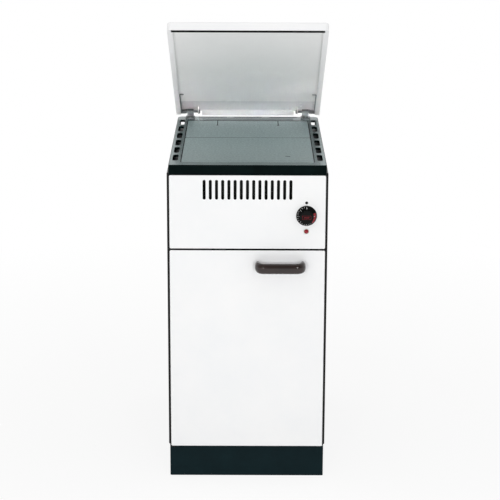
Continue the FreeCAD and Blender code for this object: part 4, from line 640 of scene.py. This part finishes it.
# Screws round the edge of the door's inner sheet.
doorScrew = {"headMm": ((0, 0), (3.5, 0), (3.5, 0.7), (2.975, 1.6), (1.4, 2), (0.56, 1.1), (0, 1)),
             "sides": 20, "columns": 2, "rows": 5, "sideInset": 14 * mm, "endInset": 20 * mm}
linerLow, linerHigh = (Vector(corner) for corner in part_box("door_liner"))
doorScrews = grow(turned("panHead", doorScrew["headMm"], doorScrew["sides"]), partsInRows, {
    "Columns": doorScrew["columns"], "Rows": doorScrew["rows"],
    "Width": linerHigh.x - linerLow.x - 2 * doorScrew["sideInset"],
    "Height": linerHigh.z - linerLow.z - 2 * doorScrew["endInset"]}, "zinc_steel")
linerMiddle = Vector(((linerLow.x + linerHigh.x) / 2, linerHigh.y, (linerLow.z + linerHigh.z) / 2))
doorScrews.transform(Matrix.Translation(linerMiddle) @ facingBack)
place("doorScrews", doorScrews, "door", "zinc_steel")
print("door sheet screwed on")

# Rolled seams round the oil tank.
tankSeam = {"corner": 18 * mm, "beadRadius": 2.4 * mm, "sides": 8, "rises": (60 * mm, 290 * mm),
            "arcSteps": 8}
tankLow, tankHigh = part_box("oil_tank")


def seamPath(level):
    corner = tankSeam["corner"]
    left, right = tankLow[0] + corner, tankHigh[0] - corner
    front, back = tankLow[1] + corner, tankHigh[1] - corner
    points = []
    for quarter, (x, y) in enumerate(((right, back), (left, back), (left, front), (right, front))):
        for i in range(tankSeam["arcSteps"] + 1):
            angle = math.pi / 2 * (quarter + i / tankSeam["arcSteps"])
            points.append((x + corner * math.cos(angle), y + corner * math.sin(angle), level))
    return points


seamLine = wireLine("seamLine", [seamPath(tankLow[2] + rise) for rise in tankSeam["rises"]], closed=True)
seams = grow(seamLine, roundWire, {
    "Radius": tankSeam["beadRadius"], "Sides": tankSeam["sides"]}, "tank_paint")
place("tankSeams", seams, "cabinet", "tank_paint")
print("tank seamed")

# Camera at the photograph's viewing angle; the picture is 500 by 500.
view = {"place": (0.0027, -4.30, 1.7587), "pitch": 15.0, "roll": -0.2, "focalPixels": 1674.8,
        "pictureSize": 500, "shiftY": -0.06, "sensor": 36.0}
camera = bpy.data.cameras.new("camera")
camera.sensor_width = view["sensor"]
camera.lens = view["focalPixels"] / view["pictureSize"] * view["sensor"]
camera.shift_y = view["shiftY"]
cameraObject = addObject("camera", camera)
cameraObject.location = view["place"]
cameraObject.rotation_euler = (math.radians(90 - view["pitch"]), math.radians(view["roll"]), 0)
bpy.context.scene.camera = cameraObject

# Studio: white for what the camera sees, a plain even light for the object, soft boxes in front and above,
# and a weak narrow beam that reaches in under the lid.
studio = {"worldLight": 0.64, "frontReflection": 0.3, "reflectionFrom": -0.6, "reflectionTo": 0.3,
          "floorGlowNear": 0.87, "floorGlowFar": 1.0, "glowFrom": 0.7, "glowTo": 2.0, "floorColour": 0.92,
          "floorHalf": 60.0}
lamps = {
    "leftBox": {"place": (-0.8, -3.4, 1.12), "size": (0.3, 0.3), "watts": 17.5, "aim": (0, -0.2, 0.8)},
    "rightBox": {"place": (0.85, -3.4, 1.12), "size": (0.3, 0.3), "watts": 16.5, "aim": (0, -0.2, 0.8)},
    "topBox": {"place": (0.0, -0.8, 3.2), "size": (2.4, 2.4), "watts": 10, "aim": (0, -0.8, 0)},
    "lidBeam": {"place": (0.0, -3.2, 1.23), "size": (0.6, 0.08), "watts": 0.12, "aim": (0, -0.3, 0.93),
                "spread": 4.2},
}
for name, lamp in lamps.items():
    light = bpy.data.lights.new(name, "AREA")
    light.shape = "RECTANGLE"
    light.size, light.size_y = lamp["size"]
    light.energy = lamp["watts"]
    light.spread = math.radians(lamp.get("spread", 180))
    lightObject = addObject(name, light)
    lightObject.location = lamp["place"]
    beam = Vector(lamp["aim"]) - Vector(lamp["place"])
    lightObject.rotation_euler = beam.to_track_quat("-Z", "Y").to_euler()
    lightObject.visible_camera = False

# The world: white to the camera, dimmer in front for what gloss and glass show, even for the rest.
world = bpy.data.worlds.new("studio")
bpy.context.scene.world = world
world.use_nodes = True
tree = world.node_tree
tree.nodes.clear()
white = (1, 1, 1, 1)
ray = addNode(tree, "ShaderNodeLightPath").outputs
towards = addNode(tree, "ShaderNodeTexCoord").outputs["Generated"]
direction = addNode(tree, "ShaderNodeSeparateXYZ", {0: towards})
mirrored = addNode(tree, "ShaderNodeMapRange", {
    "Value": direction.outputs[1], "From Min": studio["reflectionFrom"], "From Max": studio["reflectionTo"],
    "To Min": studio["frontReflection"], "To Max": 1.0})
notCamera = addNode(tree, "ShaderNodeMath", {
    0: ray["Is Glossy Ray"], 1: ray["Is Transmission Ray"]}, operation="MAXIMUM")
level = addNode(tree, "ShaderNodeMix", {
    0: notCamera.outputs[0], 2: studio["worldLight"], 3: mirrored.outputs[0]}, data_type="FLOAT")
seen = addNode(tree, "ShaderNodeMix", {
    0: ray["Is Camera Ray"], 2: level.outputs[0], 3: 1.0}, data_type="FLOAT")
sky = addNode(tree, "ShaderNodeBackground", {"Color": white, "Strength": seen.outputs[0]})
addNode(tree, "ShaderNodeOutputWorld", {"Surface": sky.outputs[0]})

# The floor: matt paper that keeps the object's shadow, and mostly glows white to the camera, gloss and glass.
paper = bpy.data.materials.new("paper floor, matt white")
paper.use_nodes = True
tree = paper.node_tree
tree.nodes.clear()
ray = addNode(tree, "ShaderNodeLightPath").outputs
shown = ray["Is Camera Ray"]
for kind in ("Is Glossy Ray", "Is Transmission Ray"):
    shown = addNode(tree, "ShaderNodeMath", {0: shown, 1: ray[kind]}, operation="MAXIMUM").outputs[0]
spot = addNode(tree, "ShaderNodeTexCoord").outputs["Object"]
away = addNode(tree, "ShaderNodeVectorMath", {0: spot}, operation="LENGTH")
glowShare = addNode(tree, "ShaderNodeMapRange", {
    "Value": away.outputs["Value"], "From Min": studio["glowFrom"], "From Max": studio["glowTo"],
    "To Min": studio["floorGlowNear"], "To Max": studio["floorGlowFar"]})
matt = addNode(tree, "ShaderNodeBsdfDiffuse", {"Color": (studio["floorColour"],) * 3 + (1,)})
glow = addNode(tree, "ShaderNodeEmission", {"Color": white, "Strength": 1.0})
share = addNode(tree, "ShaderNodeMath", {0: shown, 1: glowShare.outputs[0]}, operation="MULTIPLY")
surface = addNode(tree, "ShaderNodeMixShader", {
    0: share.outputs[0], 1: matt.outputs[0], 2: glow.outputs[0]})
addNode(tree, "ShaderNodeOutputMaterial", {"Surface": surface.outputs[0]})
floorMesh = bpy.data.meshes.new("floor")
half = studio["floorHalf"]
floorCorners = [(-half, -half, 0), (half, -half, 0), (half, half, 0), (-half, half, 0)]
floorMesh.from_pydata(floorCorners, [], [(0, 1, 2, 3)])
floorMesh.materials.append(paper)
addObject("floor", floorMesh)
bpy.context.scene.view_settings.view_transform = "Standard"
print("camera, lamps and floor set")
